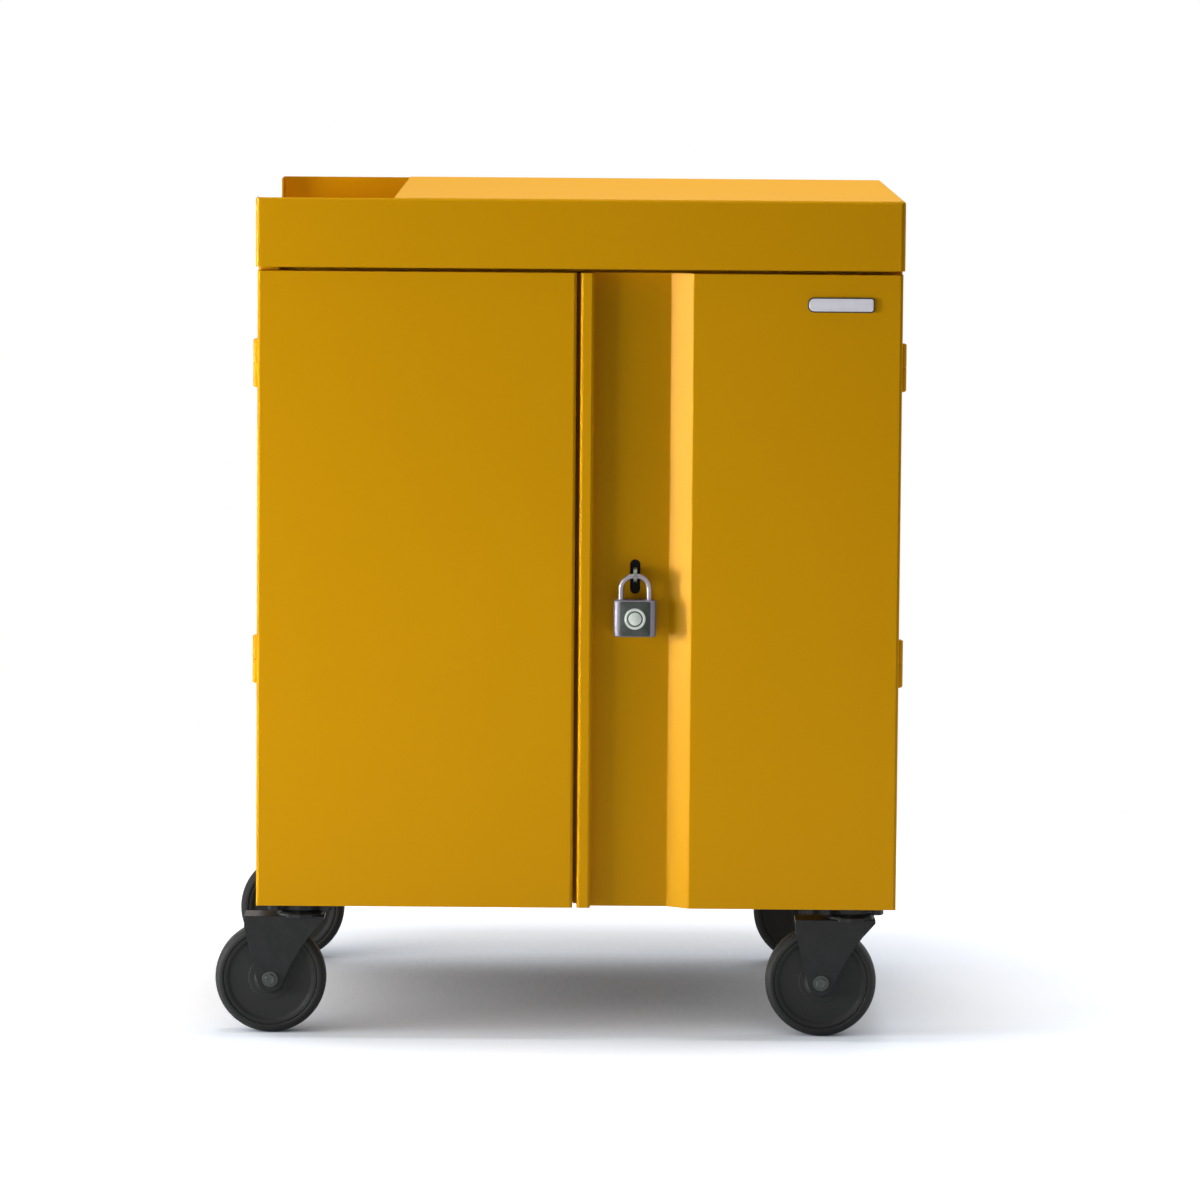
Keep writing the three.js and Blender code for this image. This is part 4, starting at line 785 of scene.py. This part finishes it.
def softbox(name, place, target, width, height, radiance, grid=None):
    """A rectangular lamp turned to a target. Its power is brightness times area times pi; a grid keeps the light
    within an angle of its axis and the power is lowered to leave the brightness along the axis as it is given."""
    data = bpy.data.lights.new(name, "AREA")
    data.shape = "RECTANGLE"
    data.size, data.size_y = width, height
    data.energy = radiance * width * height * math.pi
    if grid:
        data.spread = 2 * grid
        data.energy *= 1 - grid / math.tan(grid)
    lamp = bpy.data.objects.new(name, data)
    lamp.visible_camera = False
    lamp.location = place
    lamp.rotation_euler = (Vector(target) - Vector(place)).to_track_quat("-Z", "Y").to_euler()
    bpy.context.scene.collection.objects.link(lamp)


def seen_directly(finish):
    """1 for rays from the camera, from a mirror or through glass, 0 for those that carry light."""
    path = finish.tree.nodes.new("ShaderNodeLightPath")
    rays = [Wire(finish, path.outputs[key]) for key in ("Is Camera Ray", "Is Glossy Ray", "Is Transmission Ray")]
    return (rays[0] + rays[1] + rays[2]).above(0.0, 1.0)


def painted_light_from(finish, lean, reach):
    """How much of the view around a leaning direction is free of solids near by, from 0 to 1; it paints light and shade
    on the floor.
    """
    upright = finish.node("ShaderNodeNewGeometry", output="Normal")
    leant = finish.node("ShaderNodeVectorMath", {"operation": "ADD"}, {0: upright, 1: lean})
    leant = finish.node("ShaderNodeVectorMath", {"operation": "NORMALIZE"}, {0: leant})
    settings = {"samples": FLOOR_VIEW_SAMPLES}
    return finish.node("ShaderNodeAmbientOcclusion", settings, {"Distance": reach, "Normal": leant}, "AO")


def make_floor():
    """A flat square of floor that takes the cart's shadow near by and is plain white further out. On top of that it has
    painted shade, a darker colour in crannies under and beside the cart, and a painted glow, seen only directly, that
    brightens the open floor up to white."""
    side = np.linspace(-FLOOR_REACH, FLOOR_REACH, 3)
    x, y = np.meshgrid(side, side, indexing="ij")
    points = np.stack([x, y, np.zeros_like(x)], axis=-1).reshape(-1, 3)
    mesh = bpy.data.meshes.new("floor")
    mesh.from_pydata(points.tolist(), [], grid_faces(3, 3)[:, ::-1].tolist())
    finish = Finish("floor_white")
    seen = seen_directly(finish)
    # Painted light and shade: the floor is lighter where the view towards the left or right is open.
    painted_light_left = painted_light_from(finish, FLOOR_LEFT_LEAN, FLOOR_LEFT_REACH).above(*FLOOR_LEFT_RAMP)
    painted_light_right = painted_light_from(finish, FLOOR_RIGHT_LEAN, FLOOR_RIGHT_REACH).above(*FLOOR_RIGHT_RAMP)
    painted_light_share = finish.maths("MAXIMUM", painted_light_right * FLOOR_RIGHT_SHARE, painted_light_left)
    matt = finish.done(
        Base_Color=finish.mixed(painted_light_share, FLOOR_SHADE, FLOOR_COLOUR),
        Roughness=0.9,
        Specular_Ior_Level=0.0,
        Emission_Color=finish.mixed(painted_light_share * seen, (0, 0, 0, 1), FLOOR_PAINTED_GLOW),
        Emission_Strength=1.0,
    )
    away = finish.node("ShaderNodeVectorMath", {"operation": "LENGTH"}, {0: finish.place}, "Value")
    white = finish.node("ShaderNodeEmission", sockets={"Color": (1, 1, 1, 1), "Strength": 1.0})
    shader = Wire(finish, finish.shader.outputs[0])
    mixed = finish.node(
        "ShaderNodeMixShader", sockets={0: away.above(*FLOOR_SHADOW) * seen, 1: shader, 2: white},
    )
    finish.plug(finish.tree.nodes["Material Output"].inputs["Surface"], mixed)
    mesh.materials.append(matt)
    floor = bpy.data.objects.new("floor", mesh)
    bpy.context.scene.collection.objects.link(floor)


def make_world():
    """White where it is seen, and an even dim light where it lights the cart."""
    world = bpy.data.worlds.new("studio")
    bpy.context.scene.world = world
    world.use_nodes = True
    tree = world.node_tree
    path = tree.nodes.new("ShaderNodeLightPath")
    strength = tree.nodes["Background"].inputs["Strength"]
    tree.nodes["Background"].inputs["Color"].default_value = (1, 1, 1, 1)
    total = None
    for key in ("Is Camera Ray", "Is Glossy Ray", "Is Transmission Ray"):
        step = tree.nodes.new("ShaderNodeMath")
        step.operation = "MAXIMUM"
        tree.links.new(path.outputs[key], step.inputs[0])
        step.inputs[1].default_value = WORLD_LIGHT
        if total is not None:
            tree.links.new(total, step.inputs[1])
        total = step.outputs[0]
    tree.links.new(total, strength)


make_camera()
make_floor()
make_world()
softbox("grazing_key", (-2.6, -0.79, 0.82), (0.1, -0.4, 0.79), 0.2, 1.3, 256.0, math.radians(12))
softbox("left_soft", (-2.28, -1.04, 0.6), (0.0, -0.3, 0.55), 1.5, 1.1, 8.4)
softbox("over_front", (0.0, -0.3, 3.2), (0.0, -0.2, 0.0), 1.8, 0.5, 18.0)
softbox("floor_bounce", (0.2, -0.75, 0.01), (0.2, -0.75, 1.0), 1.6, 0.5, 0.57)
softbox("right_fill", (3.0, 0.9, 1.5), (0.0, 0.0, 0.5), 1.6, 1.6, 4.2)
softbox("back_fill", (0.4, 2.3, 2.7), (0.0, 0.0, 0.6), 2.0, 1.6, 5.2)
bpy.context.scene.view_settings.view_transform = "Standard"
